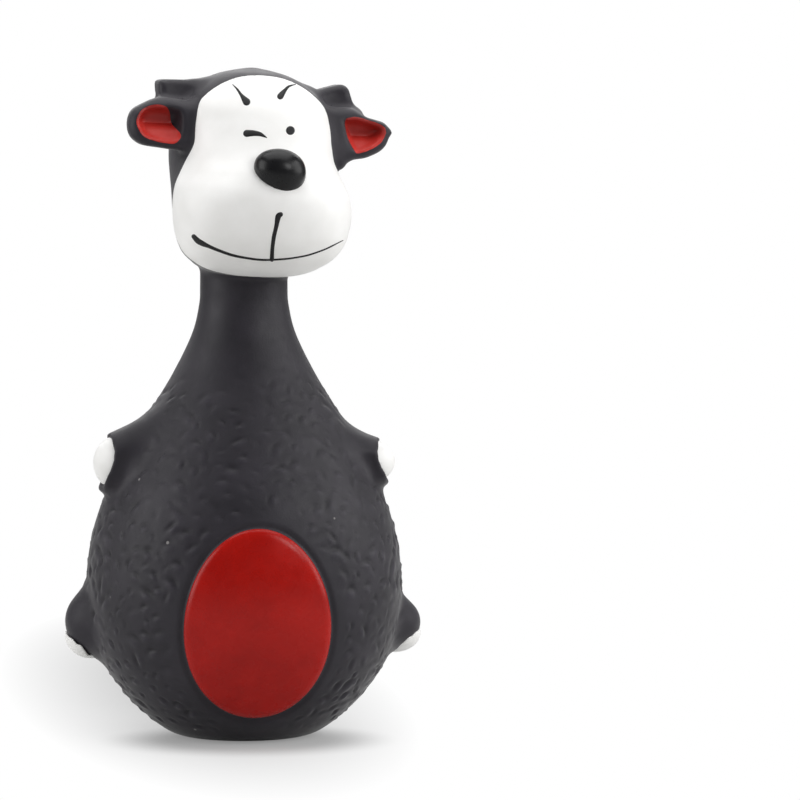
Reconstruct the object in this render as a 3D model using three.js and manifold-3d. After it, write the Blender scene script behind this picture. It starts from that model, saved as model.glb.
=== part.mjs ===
// Squeaky latex dog toy: a pear-shaped animal with a neck, a round head, stub limbs and a squeaker.
// Millimetres, +Z up. The toy faces -Y and stands on its flat base, whose centre is the origin.
// Left is the side at -X, on the left of someone who looks at its face.

import * as THREE from 'three';
import { mergeVertices } from 'three/addons/utils/BufferGeometryUtils.js';
import Module from 'manifold-3d';

const wasm = await Module();
wasm.setup();
const { degToRad, lerp, clamp } = THREE.MathUtils;

// Driving dimensions of the body
const bodyWidth = 61.4;
const bodyDepth = 56;
const baseWidth = 25;
const baseDepth = 24;
const widestHeight = 31;
const neckWidth = 17;
const neckBead = 0.6;
const neckPivotHeight = 91;

// Driving dimensions of the head, whose heights are measured from the chin, a little below the neck's pivot
const chinDrop = 1.4;
const headHeight = 40.4;
const headWidth = 33.8;
const muzzleReach = 24.5;
const napeReach = 15.5;
const headShift = 0.4;
const headTurnAngle = degToRad(9.2);
const headRollAngle = degToRad(2.5);

// Latex wall, colour coats and clearances
const wall = 2.4;
const coat = 0.9;
const gap = 0.3;
const fillingEase = 0.5;
const overrun = 12;

// Red belly oval with its raised rim
const bellyHeight = 24;
const bellyWidth = 28.2;
const bellyLength = 36.6;
const bellyEggShare = 0.05;
const rimWidth = 1.1;
const rimHeight = 0.5;

// Nose, eye and brush strokes, whose places are shares of half the head's width and of its height
const noseSize = { width: 10.2, depth: 8.6, height: 8.8 };
const noseSink = 0.2;
const noseRollAngle = degToRad(20);
const nosePlaceShares = { x: 0.02, height: 0.506 };
const eyeRadius = 0.95;
const eyePlaceShares = { x: 0.217, height: 0.708 };
const strokeWidth = 1.5;

// Rows of a stroke: shares of [half the head's width, its height, the stroke's full width]
const browLeftShares = [[-0.355, 0.906, 0.33], [-0.302, 0.868, 0.5], [-0.257, 0.836, 1]];
const browRightShares = [[0.325, 0.914, 0.33], [0.225, 0.897, 0.5], [0.152, 0.869, 1]];
const winkShares = [[-0.293, 0.69, 1], [-0.19, 0.689, 0.73], [-0.077, 0.669, 0.4]];
const muzzleLineShares = [[-0.014, 0.318, 0.75], [-0.042, 0.215, 0.6], [-0.014, 0.12, 0.6]];
const mouthShares = [
  [-0.85, 0.184, 0.73], [-0.72, 0.148, 0.7], [-0.45, 0.113, 0.56], [-0.1, 0.097, 0.53], [0.25, 0.108, 0.53],
  [0.56, 0.143, 0.45], [0.84, 0.192, 0.33]
];

// Ears and horns
const earLength = 14.3;
const earHeight = 9.8;
const earThickness = 6.4;
const earRootShares = { x: 0.728, y: -0.36, height: 0.712 };
const earDroopAngle = degToRad(1);
const earCupShare = 0.6;
const earCupDepth = 3;
const earCupWidth = 8.6;
const earCupHeight = 7;
const earCoat = 0.6;
const hornLength = 10.6;
const hornHeight = 6.6;
const hornDepth = 6.8;
const hornRootShares = { x: 0.54, y: -0.1, height: 0.876 };
const hornRiseAngle = degToRad(3);

// Limbs: each root lies inside the body, in shares of its half width, half depth and pivot height
const armLength = 14.8;
const armHeight = 13;
const armDepth = 13;
const armRootShares = { x: 0.489, y: -0.143, height: 0.622 };
const armDroopAngle = degToRad(12);
const legLength = 15.2;
const legHeight = 14.4;
const legDepth = 14;
const legRootShares = { x: 0.651, y: 0.071, height: 0.275 };
const legDroopAngle = degToRad(20);

// Squeaker, pressed into a collar round the hole in the base
const flangeRadius = 8;
const flangeThickness = 0.9;
const flangeInset = 0.2;
const barrelRadius = 6;
const barrelWall = 1;
const barrelTop = 14;
const airHoleRadius = 1;
const collarWall = 2.2;
const collarHeight = 7;
const reedThickness = 0.3;
const reedWidth = 4.4;
const reedBottom = 4.8;
const reedTop = 12.8;
const blockBottom = 3.6;
const insertTop = 13.6;
const clampBottom = 10.6;
const soundSlotWidth = 3;
const soundSlotDepth = 2;

// Openings of the skin and the fibre filling
const fillingRise = 3;
const neckOpeningRadius = 4.6;
const neckLip = 2;

// Mesh density
const bodyGrid = { rings: 20, steps: 28 };
const headGrid = { rings: 17, steps: 24 };
const fillingGrid = { rings: 12, steps: 16 };
const limbGrid = { rings: 7, steps: 14 };
const earGrid = { rings: 6, steps: 12 };
const hornGrid = { rings: 5, steps: 10 };
const ovalSteps = 24;
const dotSteps = 10;
const eggSteps = 12;
const roundSteps = 24;
const socketSteps = 28;
const differenceShare = 0.001;

const finish = (color, roughness) => new THREE.MeshStandardMaterial({ color, roughness, metalness: 0 });
const materials = {
  black: finish(0x3a383c, 0.55),
  white: finish(0xf3f2ef, 0.45),
  red: finish(0x9c1c12, 0.4),
  gloss: finish(0x1b1b1e, 0.2),
  line: finish(0x1f1e20, 0.35),
  fibre: finish(0xf0eee6, 0.95),
  plastic: finish(0xe6e3da, 0.35),
  reed: finish(0xcfc8b2, 0.3)
};

// The head group turns and rolls about the neck's pivot, which is its origin
const toy = new THREE.Group();
const head = new THREE.Group();
head.position.set(0, 0, neckPivotHeight);
head.rotation.set(0, headRollAngle, headTurnAngle);
toy.add(head);

// Solids and meshes

function solidOf(geometry) {
  const bare = geometry.clone();
  bare.deleteAttribute('normal');
  bare.deleteAttribute('uv');
  const welded = mergeVertices(bare);
  return new wasm.Manifold(new wasm.Mesh({
    numProp: 3,
    vertProperties: new Float32Array(welded.attributes.position.array),
    triVerts: new Uint32Array(welded.index.array)
  }));
}

function add(parent, name, solid, material) {
  const { vertProperties, triVerts, numProp } = solid.getMesh();
  const geometry = new THREE.BufferGeometry();
  geometry.setAttribute('position', new THREE.BufferAttribute(vertProperties, numProp));
  geometry.setIndex(new THREE.BufferAttribute(triVerts, 1));
  geometry.computeVertexNormals();
  const mesh = new THREE.Mesh(geometry, material.clone());
  mesh.name = name;
  parent.add(mesh);
}

// The other side's copy of a right-hand geometry
function mirrored(geometry) {
  const copy = mergeVertices(geometry);
  copy.scale(-1, 1, 1);
  const corners = copy.index.array;
  for (let first = 0; first < corners.length; first += 3) {
    [corners[first], corners[first + 1]] = [corners[first + 1], corners[first]];
  }
  return copy;
}

// Lofted forms: rows of [height, half width, front reach, back reach, egg] with a smooth curve through them.
// The egg share widens a ring's front half and narrows its back half.

function throughRows(rows, place) {
  const spans = rows.length - 1;
  const span = Math.min(Math.floor(place * spans), spans - 1);
  const along = place * spans - span;
  const row = (index) => rows[clamp(index, 0, spans)];
  return row(span).map((start, column) => {
    const rise = row(span + 1)[column] - start;
    const leaving = (row(span + 1)[column] - row(span - 1)[column]) / 2;
    const arriving = (row(span + 2)[column] - start) / 2;
    const bend = 3 * rise - 2 * leaving - arriving;
    return start + leaving * along + bend * along ** 2 + (leaving + arriving - 2 * rise) * along ** 3;
  });
}

function surfacePoint(form, place, turn) {
  const [height, halfWidth, front, back, egg = 0] = throughRows(form.rows, place);
  const swell = (value) => Math.sign(value) * Math.abs(value) ** (2 / form.power);
  const angle = turn * 2 * Math.PI;
  const backward = swell(Math.sin(angle));
  return new THREE.Vector3(
    form.middle + halfWidth * swell(Math.cos(angle)) * (1 - egg * backward) / (1 + egg ** 2 / 2),
    (back - front) / 2 + (back + front) / 2 * backward,
    height
  );
}

function grownPoint(form, place, turn, grow) {
  const low = Math.max(place - differenceShare, 0);
  const high = Math.min(place + differenceShare, 1);
  const upward = surfacePoint(form, high, turn).sub(surfacePoint(form, low, turn));
  const around = surfacePoint(form, place, turn + differenceShare);
  around.sub(surfacePoint(form, place, turn - differenceShare));
  const outward = around.cross(upward).normalize();
  return surfacePoint(form, place, turn).addScaledVector(outward, grow);
}

function loft(form, grow = 0, grid = form.grid) {
  const { rings, steps } = grid;
  const points = [];
  for (let ring = 0; ring <= rings; ring += 1) {
    for (let step = 0; step < steps; step += 1) {
      points.push(grownPoint(form, ring / rings, (step + 0.5) / steps, grow));
    }
  }
  const addCentre = (ring) => {
    const corners = points.slice(ring * steps, (ring + 1) * steps);
    const sum = corners.reduce((total, corner) => total.add(corner), new THREE.Vector3());
    return points.push(sum.divideScalar(steps)) - 1;
  };
  const bottom = addCentre(0);
  const top = addCentre(rings);
  const faces = [];
  for (let step = 0; step < steps; step += 1) {
    const next = (step + 1) % steps;
    for (let lower = 0; lower < rings * steps; lower += steps) {
      const upper = lower + steps;
      faces.push(lower + step, lower + next, upper + next);
      faces.push(lower + step, upper + next, upper + step);
    }
    faces.push(bottom, next, step);
    faces.push(top, rings * steps + step, rings * steps + next);
  }
  const geometry = new THREE.BufferGeometry().setFromPoints(points);
  geometry.setIndex(faces);
  return geometry;
}

// The share of the way up a form at which it reaches a height
function placeAtHeight(form, height) {
  let [low, high] = [0, 1];
  while (high - low > differenceShare) {
    const middle = (low + high) / 2;
    if (throughRows(form.rows, middle)[0] < height) {
      low = middle;
    } else {
      high = middle;
    }
  }
  return low;
}

// Outlines seen from the front: closed lists of Vector2 (x, height), anticlockwise

function ovalOutline(centre, width, length, eggShare, steps) {
  return Array.from({ length: steps }, (unused, step) => {
    const angle = step / steps * 2 * Math.PI;
    const taper = 1 - eggShare * Math.sin(angle);
    return new THREE.Vector2(
      centre.x + width / 2 * Math.cos(angle) * taper,
      centre.y + length / 2 * Math.sin(angle)
    );
  });
}

function strokeOutline(rows, spread) {
  const samples = 2 * (rows.length - 1);
  const path = Array.from({ length: samples + 1 }, (unused, index) => throughRows(rows, index / samples));
  const right = [];
  const left = [];
  path.forEach(([x, height, half], index) => {
    const before = path[Math.max(index - 1, 0)];
    const after = path[Math.min(index + 1, samples)];
    const along = new THREE.Vector2(after[0] - before[0], after[1] - before[1]).normalize();
    const end = Number(index === samples) - Number(index === 0);
    const centre = new THREE.Vector2(x, height).addScaledVector(along, end * spread);
    const across = new THREE.Vector2(-along.y, along.x).multiplyScalar(half + spread);
    right.push(centre.clone().sub(across));
    left.unshift(centre.clone().add(across));
  });
  return [...right, ...left];
}

function spreadOutline(points, spread) {
  return points.map((point, index) => {
    const before = points[(index + points.length - 1) % points.length];
    const after = points[(index + 1) % points.length];
    const along = after.clone().sub(before).normalize();
    return new THREE.Vector2(point.x + along.y * spread, point.y - along.x * spread);
  });
}

// An outline drawn out along Y, from a reach in front of the middle plane to a reach behind it
function prism(points, front, back = 0) {
  const shape = new THREE.Shape(points);
  const geometry = new THREE.ExtrudeGeometry(shape, { depth: front + back, bevelEnabled: false });
  geometry.rotateX(Math.PI / 2);
  geometry.translate(0, back, 0);
  return geometry;
}

function cylinder(radius, bottom, top, steps = roundSteps) {
  const geometry = new THREE.CylinderGeometry(radius, radius, top - bottom, steps);
  geometry.rotateX(Math.PI / 2);
  geometry.translate(0, 0, (top + bottom) / 2);
  return solidOf(geometry);
}

// Body: the base swells to the belly, draws in to the neck and ends in the bead inside the head

const bellySwellShares = [
  [0, 0], [0.06, 0.18], [0.14, 0.36], [0.28, 0.6], [0.5, 0.85], [0.75, 0.975], [1, 1]
];
const neckSwellShares = [
  [0.14, 0.955], [0.275, 0.847], [0.41, 0.68], [0.55, 0.473], [0.69, 0.252], [0.83, 0.075], [0.93, 0.01]
];
const beadRadius = neckWidth / 2 + neckBead;
const beadStart = -Math.acos(neckWidth / 2 / beadRadius);
const beadEnd = degToRad(50);
const beadSpans = 5;
const neckHeight = neckPivotHeight + beadRadius * Math.sin(beadStart);

function bodyRows() {
  const row = (height, width, depth) => [height, width / 2, depth / 2, depth / 2];
  const rows = bellySwellShares.map(([rise, swell]) => row(
    widestHeight * rise, lerp(baseWidth, bodyWidth, swell), lerp(baseDepth, bodyDepth, swell)
  ));
  neckSwellShares.forEach(([rise, swell]) => {
    const [width, depth] = [bodyWidth, bodyDepth].map((size) => lerp(neckWidth, size, swell));
    rows.push(row(lerp(widestHeight, neckHeight, rise), width, depth));
  });
  for (let span = 0; span <= beadSpans; span += 1) {
    const angle = lerp(beadStart, beadEnd, span / beadSpans);
    const width = 2 * beadRadius * Math.cos(angle);
    rows.push(row(neckPivotHeight + beadRadius * Math.sin(angle), width, width));
  }
  return rows;
}

const bodyForm = { rows: bodyRows(), power: 2, middle: 0, grid: bodyGrid };
const bodyReach = bodyDepth / 2 + overrun;
const bodyShell = solidOf(loft(bodyForm));
const bodyClearance = solidOf(loft(bodyForm, gap));

function bellyPrism(spread) {
  const centre = new THREE.Vector2(0, bellyHeight);
  const outline = ovalOutline(centre, bellyWidth, bellyLength, bellyEggShare, ovalSteps);
  return solidOf(prism(spreadOutline(outline, spread), bodyReach));
}

function buildBody() {
  const hole = cylinder(barrelRadius + gap, -overrun, collarHeight + gap);
  const flangeSeat = cylinder(flangeRadius + gap, -overrun, flangeInset + flangeThickness + gap);
  const collar = cylinder(barrelRadius + gap + collarWall, wall / 2, collarHeight);
  const cavity = solidOf(loft(bodyForm, -wall)).subtract(collar);
  const opening = cylinder(neckOpeningRadius, neckPivotHeight, neckPivotHeight + 2 * beadRadius);
  const seat = bellyPrism(gap).subtract(solidOf(loft(bodyForm, -coat - gap)));
  const rim = bellyPrism(gap + rimWidth).intersect(solidOf(loft(bodyForm, rimHeight)));
  const skin = bodyShell.add(rim).subtract(cavity).subtract(seat);
  add(toy, 'body_skin', skin.subtract(hole).subtract(flangeSeat).subtract(opening), materials.black);
  const coatShell = bodyShell.subtract(solidOf(loft(bodyForm, -coat)));
  add(toy, 'belly_coat', coatShell.intersect(bellyPrism(0)), materials.red);
}

function buildBodyFilling() {
  const wad = solidOf(loft(bodyForm, -wall - fillingEase, fillingGrid));
  const fillingTop = neckPivotHeight + fillingRise;
  const aboveTop = cylinder(bodyWidth, fillingTop, fillingTop + overrun);
  const collarPocket = cylinder(barrelRadius + gap + collarWall + gap, -overrun, collarHeight + gap);
  const barrelPocket = cylinder(barrelRadius + gap, -overrun, barrelTop + gap);
  const filling = wad.subtract(aboveTop).subtract(collarPocket).subtract(barrelPocket);
  add(toy, 'body_filling', filling, materials.fibre);
}

// Squeaker: a flanged cup that holds the reed between two half-round inserts

function turned(profile) {
  const points = [...profile, profile[0]].map(([radius, height]) => new THREE.Vector2(radius, height));
  const geometry = new THREE.LatheGeometry(points, roundSteps);
  geometry.rotateX(Math.PI / 2);
  return solidOf(geometry);
}

// A half-round insert: its flat faces the reed, on one side or the other
function halfRound(side, bottom, top) {
  const radius = barrelRadius - barrelWall - gap;
  const flat = reedThickness / 2 + gap;
  const corner = Math.asin(flat / radius);
  const shape = new THREE.Shape();
  shape.absarc(0, 0, radius, corner, Math.PI - corner, false);
  shape.closePath();
  const options = { depth: top - bottom, bevelEnabled: false, curveSegments: roundSteps / 2 };
  const geometry = new THREE.ExtrudeGeometry(shape, options);
  geometry.rotateZ(side < 0 ? Math.PI : 0);
  geometry.translate(0, 0, bottom);
  return solidOf(geometry);
}

function box(width, depth, bottom, top, y) {
  const geometry = new THREE.BoxGeometry(width, depth, top - bottom);
  geometry.translate(0, y, (top + bottom) / 2);
  return solidOf(geometry);
}

function buildSqueaker() {
  const floor = flangeInset + flangeThickness;
  const housing = turned([
    [airHoleRadius, flangeInset], [flangeRadius, flangeInset], [flangeRadius, floor], [barrelRadius, floor],
    [barrelRadius, barrelTop], [barrelRadius - barrelWall, barrelTop], [barrelRadius - barrelWall, floor],
    [airHoleRadius, floor]
  ]);
  add(toy, 'squeaker_housing', housing, materials.plastic);
  const slotDepth = reedThickness / 2 + gap + soundSlotDepth;
  const soundSlot = box(soundSlotWidth, slotDepth, blockBottom - gap, clampBottom - gap, slotDepth / 2);
  add(toy, 'reed_block', halfRound(1, blockBottom, insertTop).subtract(soundSlot), materials.plastic);
  add(toy, 'reed_clamp', halfRound(-1, clampBottom, insertTop), materials.plastic);
  add(toy, 'reed', box(reedWidth, reedThickness, reedBottom, reedTop, 0), materials.reed);
}

// Head, in the frame of the head group

const headShares = [
  [0, 0.46, 0.47, 0.57, 0.15], [0.025, 0.56, 0.6, 0.62, 0.18], [0.06, 0.7, 0.72, 0.67, 0.21],
  [0.11, 0.85, 0.84, 0.73, 0.23], [0.18, 0.945, 0.94, 0.79, 0.24], [0.25, 0.985, 0.985, 0.84, 0.235],
  [0.33, 1, 1, 0.89, 0.22], [0.41, 0.985, 0.985, 0.94, 0.14], [0.49, 0.95, 0.91, 0.98, 0],
  [0.56, 0.93, 0.81, 1, -0.08], [0.64, 0.925, 0.71, 1, -0.07], [0.73, 0.915, 0.62, 0.985, -0.03],
  [0.81, 0.87, 0.54, 0.93, 0], [0.88, 0.745, 0.44, 0.82, 0], [0.935, 0.575, 0.33, 0.67, 0],
  [0.97, 0.4, 0.21, 0.48, 0], [0.99, 0.22, 0.08, 0.27, 0], [1, 0.09, -0.02, 0.12, 0]
];
const headForm = {
  rows: headShares.map(([rise, width, front, back, egg]) => [
    headHeight * rise - chinDrop, headWidth / 2 * width, muzzleReach * front, napeReach * back, egg
  ]),
  power: 2.2,
  middle: headShift,
  grid: headGrid
};
const faceReach = muzzleReach + overrun;
const headShell = solidOf(loft(headForm));
const headClearance = solidOf(loft(headForm, gap));
const coatFloor = solidOf(loft(headForm, -coat));
const onHead = ([x, height, ...rest]) => [headShift + x, height - chinDrop, ...rest];
const onHeadShares = ({ x, height }) => new THREE.Vector2(
  ...onHead([headWidth / 2 * x, headHeight * height])
);

// The face coat's edge seen from the side, from the chin to the brow: [height, reach in front of the axis]
const faceEdgeShares = [
  [0.012, 0.42], [0.05, 0.35], [0.15, 0.33], [0.27, 0.302], [0.38, 0.31], [0.545, 0.33], [0.67, 0.31],
  [0.79, 0.286], [0.91, 0.262], [1.05, 0.22]
];

function facePrism(spread) {
  const edge = faceEdgeShares.map(([rise, reach]) => new THREE.Vector2(
    muzzleReach * reach, headHeight * rise - chinDrop
  ));
  const corners = [edge[edge.length - 1], edge[0]].map(({ y }) => new THREE.Vector2(faceReach, y));
  const side = prism(spreadOutline([...edge, ...corners].reverse(), spread), headWidth, headWidth);
  side.rotateZ(-Math.PI / 2);
  const lip = cylinder(beadRadius + gap + neckLip - spread, -chinDrop - overrun, wall - chinDrop);
  return solidOf(side).subtract(lip);
}

function eyePrism(spread) {
  const centre = onHeadShares(eyePlaceShares);
  const width = 2 * (eyeRadius + spread);
  return solidOf(prism(ovalOutline(centre, width, width, 0, dotSteps), faceReach));
}

function noseEgg(spread) {
  const { x, y: height } = onHeadShares(nosePlaceShares);
  const front = throughRows(headForm.rows, placeAtHeight(headForm, height))[2];
  const egg = new THREE.SphereGeometry(1, eggSteps, eggSteps);
  egg.scale(noseSize.width / 2 + spread, noseSize.depth / 2 + spread, noseSize.height / 2 + spread);
  egg.rotateY(noseRollAngle);
  egg.translate(x, noseSink - front, height);
  return solidOf(egg);
}

function strokePrism(shares, spread) {
  const rows = shares.map(([x, height, width]) => onHead(
    [headWidth / 2 * x, headHeight * height, strokeWidth / 2 * width]
  ));
  return solidOf(prism(strokeOutline(rows, spread), faceReach));
}

function buildFace() {
  const coatShell = headShell.subtract(coatFloor).intersect(facePrism(0));
  const lines = {
    brow_left: browLeftShares, brow_right: browRightShares, eye_wink: winkShares, mouth_line: mouthShares
  };
  let face = coatShell.subtract(noseEgg(gap)).subtract(eyePrism(gap));
  [...Object.values(lines), muzzleLineShares].forEach((shares) => {
    face = face.subtract(strokePrism(shares, gap));
  });
  add(head, 'face_coat', face, materials.white);
  Object.entries(lines).forEach(([name, shares]) => {
    add(head, name, coatShell.intersect(strokePrism(shares, 0)), materials.line);
  });
  const line = coatShell.intersect(strokePrism(muzzleLineShares, 0));
  add(head, 'muzzle_line', line.subtract(strokePrism(mouthShares, gap)), materials.line);
  add(head, 'eye_dot', coatShell.intersect(eyePrism(0)), materials.line);
  add(head, 'nose', noseEgg(0).subtract(coatFloor), materials.gloss);
}

function buildHeadSkin() {
  const cavity = solidOf(loft(headForm, -wall));
  const ball = (radius, steps) => solidOf(new THREE.SphereGeometry(radius, steps, steps / 2));
  const socket = ball(beadRadius + gap, socketSteps);
  const seat = facePrism(gap).subtract(solidOf(loft(headForm, -coat - gap)));
  add(head, 'head_skin', headShell.subtract(cavity).subtract(socket).subtract(seat), materials.black);
  const wad = solidOf(loft(headForm, -wall - fillingEase, fillingGrid));
  const pocket = ball(beadRadius + gap + fillingEase, socketSteps / 2);
  add(head, 'head_filling', wad.subtract(pocket), materials.fibre);
}

// Ears, horns, arms and legs are lofted outwards, along +X, and drawn for the right side first.
// Their rows are shares of [length, depth, reach down, reach up]. A reach left out takes the depth's share.

const earShares = [
  [0, 0.8, 1.05, 0.8], [0.25, 0.9, 1.15, 0.87], [0.5, 0.9, 0.99, 0.96], [0.72, 0.84, 0.84, 0.74],
  [0.88, 0.66, 0.58, 0.52], [0.97, 0.36, 0.26, 0.26], [1, 0.14, 0.1, 0.1]
];
const hornShares = [
  [0, 1, 1.1, 0.8], [0.3, 0.96, 1, 0.6], [0.6, 0.92, 0.95, 0.52], [0.82, 0.86, 0.9, 0.47],
  [0.92, 0.66, 0.7, 0.38], [0.95, 0.34, 0.4, 0.2]
];
const armShares = [[0, 1], [0.27, 0.98], [0.54, 0.9], [0.74, 0.8], [0.88, 0.6], [0.97, 0.32], [1, 0.12]];
const legShares = [[0, 1], [0.33, 0.96], [0.6, 0.84], [0.78, 0.66], [0.92, 0.42], [0.98, 0.24], [1, 0.1]];

// Rows of an outward form: [distance out, half depth, reach down, reach up]
function outwardForm(length, depth, height, shares, grid) {
  const rows = shares.map(([out, size, down = size, up = size]) => [
    length * out, depth / 2 * size, height / 2 * down, height / 2 * up
  ]);
  return { rows, power: 2, middle: 0, grid };
}

const outwards = new THREE.Matrix4().makeBasis(
  new THREE.Vector3(0, 1, 0), new THREE.Vector3(0, 0, 1), new THREE.Vector3(1, 0, 0)
);

// Both sides' copies of a piece that stands out of its root at a droop angle, either side of a middle
function bothSides(geometry, root, droopAngle, middle = 0) {
  geometry.rotateY(droopAngle);
  geometry.translate(root.x, root.y, root.height);
  const right = geometry.clone().translate(middle, 0, 0);
  const left = mirrored(geometry).translate(middle, 0, 0);
  return { right: solidOf(right), left: solidOf(left) };
}

// The end of a limb that its hoof takes, outside a wavy cuff in shares of the limb's length and height
const armCuffShares = [
  [0.68, 0.6], [0.7, 0.33], [0.686, 0.17], [0.728, 0.02], [0.835, -0.14], [0.925, -0.28], [0.945, -0.43],
  [0.945, -0.6]
];
const legCuffShares = [
  [1.06, 0.1], [0.99, 0.048], [0.93, -0.057], [0.85, -0.16], [0.82, -0.26], [0.76, -0.33], [0.69, -0.375],
  [0.6, -0.6]
];
const cuffEndShare = 1.3;

function cuffOutline(shares, length, height) {
  const [topShare, bottomShare] = [shares[0][1], shares[shares.length - 1][1]];
  const corners = [...shares, [cuffEndShare, bottomShare], [cuffEndShare, topShare]];
  return corners.map(([out, up]) => new THREE.Vector2(length * out, height * up));
}

function buildLimb(name, limb) {
  const { length, depth, height, shares, cuffShares, rootShares, droopAngle } = limb;
  const root = {
    x: bodyWidth / 2 * rootShares.x,
    y: bodyDepth / 2 * rootShares.y,
    height: neckPivotHeight * rootShares.height
  };
  const form = outwardForm(length, depth, height, shares, limbGrid);
  const whole = bothSides(loft(form).applyMatrix4(outwards), root, droopAngle);
  const cuff = cuffOutline(cuffShares, length, height);
  const hoofSide = bothSides(prism(cuff, depth, depth), root, droopAngle);
  const sleeveLimit = bothSides(prism(spreadOutline(cuff, gap), depth, depth), root, droopAngle);
  ['left', 'right'].forEach((side) => {
    const clear = whole[side].subtract(bodyClearance);
    add(toy, `${name}_${side}`, clear.subtract(sleeveLimit[side]), materials.black);
    add(toy, `${name}_hoof_${side}`, clear.intersect(hoofSide[side]), materials.white);
  });
}

function earCup(spread) {
  const cup = new THREE.SphereGeometry(1, eggSteps, eggSteps);
  cup.scale(earCupWidth / 2 + spread, earCupDepth + spread, earCupHeight / 2 + spread);
  cup.translate(earLength * earCupShare, -earThickness / 2, 0);
  return cup;
}

function buildEarsAndHorns() {
  const place = (geometry, shares, droopAngle) => {
    const { x, y: height } = onHeadShares(shares);
    const root = { x: x - headShift, y: napeReach * shares.y, height };
    return bothSides(geometry, root, droopAngle, headShift);
  };
  const earForm = outwardForm(earLength, earThickness, earHeight, earShares, earGrid);
  const earSolid = (grow) => place(
    loft(earForm, grow).applyMatrix4(outwards), earRootShares, earDroopAngle
  );
  const ear = earSolid(0);
  const earLimit = earSolid(gap);
  const [cupSeat, liningOuter, liningInner] = [0, -gap, -gap - earCoat].map(
    (spread) => place(earCup(spread), earRootShares, earDroopAngle)
  );
  const hornForm = outwardForm(hornLength, hornDepth, hornHeight, hornShares, hornGrid);
  const horn = place(loft(hornForm).applyMatrix4(outwards), hornRootShares, -hornRiseAngle);
  ['left', 'right'].forEach((side) => {
    const clearEar = ear[side].subtract(headClearance);
    add(head, `ear_${side}`, clearEar.subtract(cupSeat[side]), materials.black);
    const lining = clearEar.intersect(liningOuter[side]).subtract(liningInner[side]);
    add(head, `ear_lining_${side}`, lining, materials.red);
    const clearHorn = horn[side].subtract(headClearance).subtract(earLimit[side]);
    add(head, `horn_${side}`, clearHorn, materials.black);
  });
}

buildBody();
buildBodyFilling();
buildSqueaker();
buildHeadSkin();
buildFace();
buildEarsAndHorns();
buildLimb('arm', {
  length: armLength, depth: armDepth, height: armHeight, shares: armShares, cuffShares: armCuffShares,
  rootShares: armRootShares, droopAngle: armDroopAngle
});
buildLimb('leg', {
  length: legLength, depth: legDepth, height: legHeight, shares: legShares, cuffShares: legCuffShares,
  rootShares: legRootShares, droopAngle: legDroopAngle
});

export default toy;
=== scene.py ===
# Squeaky latex dog toy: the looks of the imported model, in its own frame.
# Shapes are worked out in millimetres and turned into metres when their meshes are made.
import math

import bpy
import numpy as np
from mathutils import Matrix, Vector
from mathutils.bvhtree import BVHTree
from mathutils.kdtree import KDTree


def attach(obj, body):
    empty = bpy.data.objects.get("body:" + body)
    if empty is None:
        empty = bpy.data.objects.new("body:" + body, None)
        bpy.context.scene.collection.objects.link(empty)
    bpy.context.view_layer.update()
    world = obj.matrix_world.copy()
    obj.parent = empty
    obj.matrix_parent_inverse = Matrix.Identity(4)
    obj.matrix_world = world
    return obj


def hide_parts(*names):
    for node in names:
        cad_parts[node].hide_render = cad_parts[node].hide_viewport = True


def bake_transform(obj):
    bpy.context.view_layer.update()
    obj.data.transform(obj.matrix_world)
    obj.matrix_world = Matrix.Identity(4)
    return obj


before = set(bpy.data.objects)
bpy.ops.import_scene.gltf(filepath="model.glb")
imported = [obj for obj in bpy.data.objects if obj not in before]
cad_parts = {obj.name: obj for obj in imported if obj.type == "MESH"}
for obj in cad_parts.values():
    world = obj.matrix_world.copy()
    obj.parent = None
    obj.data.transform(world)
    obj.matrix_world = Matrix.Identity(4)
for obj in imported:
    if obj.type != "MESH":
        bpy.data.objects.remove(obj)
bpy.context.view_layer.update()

METRE = 0.001
PITCH = 0.45
FINE_PITCH = 0.28
SEED = 7

# Photograph: the pixel size at the toy's axis, the axis's column, the floor's row and the view
PIXELS = 800
PIXEL_SIZE = 0.1945
AXIS_COLUMN = 244
FLOOR_ROW = 737
VIEW_AZIMUTH = math.radians(-7.0)
VIEW_ELEVATION = math.radians(3.0)
VIEW_DISTANCE = 1000.0
SENSOR = 36.0
CLIP_START = 0.05
CLIP_END = 50

# Body
BODY_WIDTH = 61.4
BODY_DEPTH = 56.0
BASE_WIDTH = 25.0
BASE_DEPTH = 24.0
WIDEST_HEIGHT = 31.0
NECK_WIDTH = 17.0
NECK_HEIGHT = 88.0
NECK_TOP = 96.0
BASE_ROUND = 1.6
SKIN_LOW = np.array([-37.0, -30.5, -1.5])
SKIN_HIGH = np.array([37.0, 30.5, 132.0])
BELLY_SWELL_SHARES = [(0, 0), (0.06, 0.18), (0.14, 0.36), (0.28, 0.6), (0.5, 0.85), (0.75, 0.975), (1, 1)]
NECK_SWELL_SHARES = [
    (0.14, 0.955), (0.275, 0.847), (0.41, 0.68), (0.55, 0.473), (0.69, 0.252), (0.83, 0.075), (0.93, 0.01),
    (1, 0), (1.14, 0),
]

# Head, in its own frame: the origin is the neck's pivot
PIVOT_HEIGHT = 91.0
CHIN_HEIGHT = 89.6
HEAD_HEIGHT = 40.4
HEAD_WIDTH = 33.8
MUZZLE_REACH = 24.5
NAPE_REACH = 15.5
HEAD_SHIFT = 0.4
HEAD_TURN = math.radians(9.2)
HEAD_ROLL = math.radians(2.5)
HEAD_SQUARENESS = 2.2
CHIN_ROUND = 2.4
CHIN_DROP = CHIN_HEIGHT - PIVOT_HEIGHT
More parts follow.
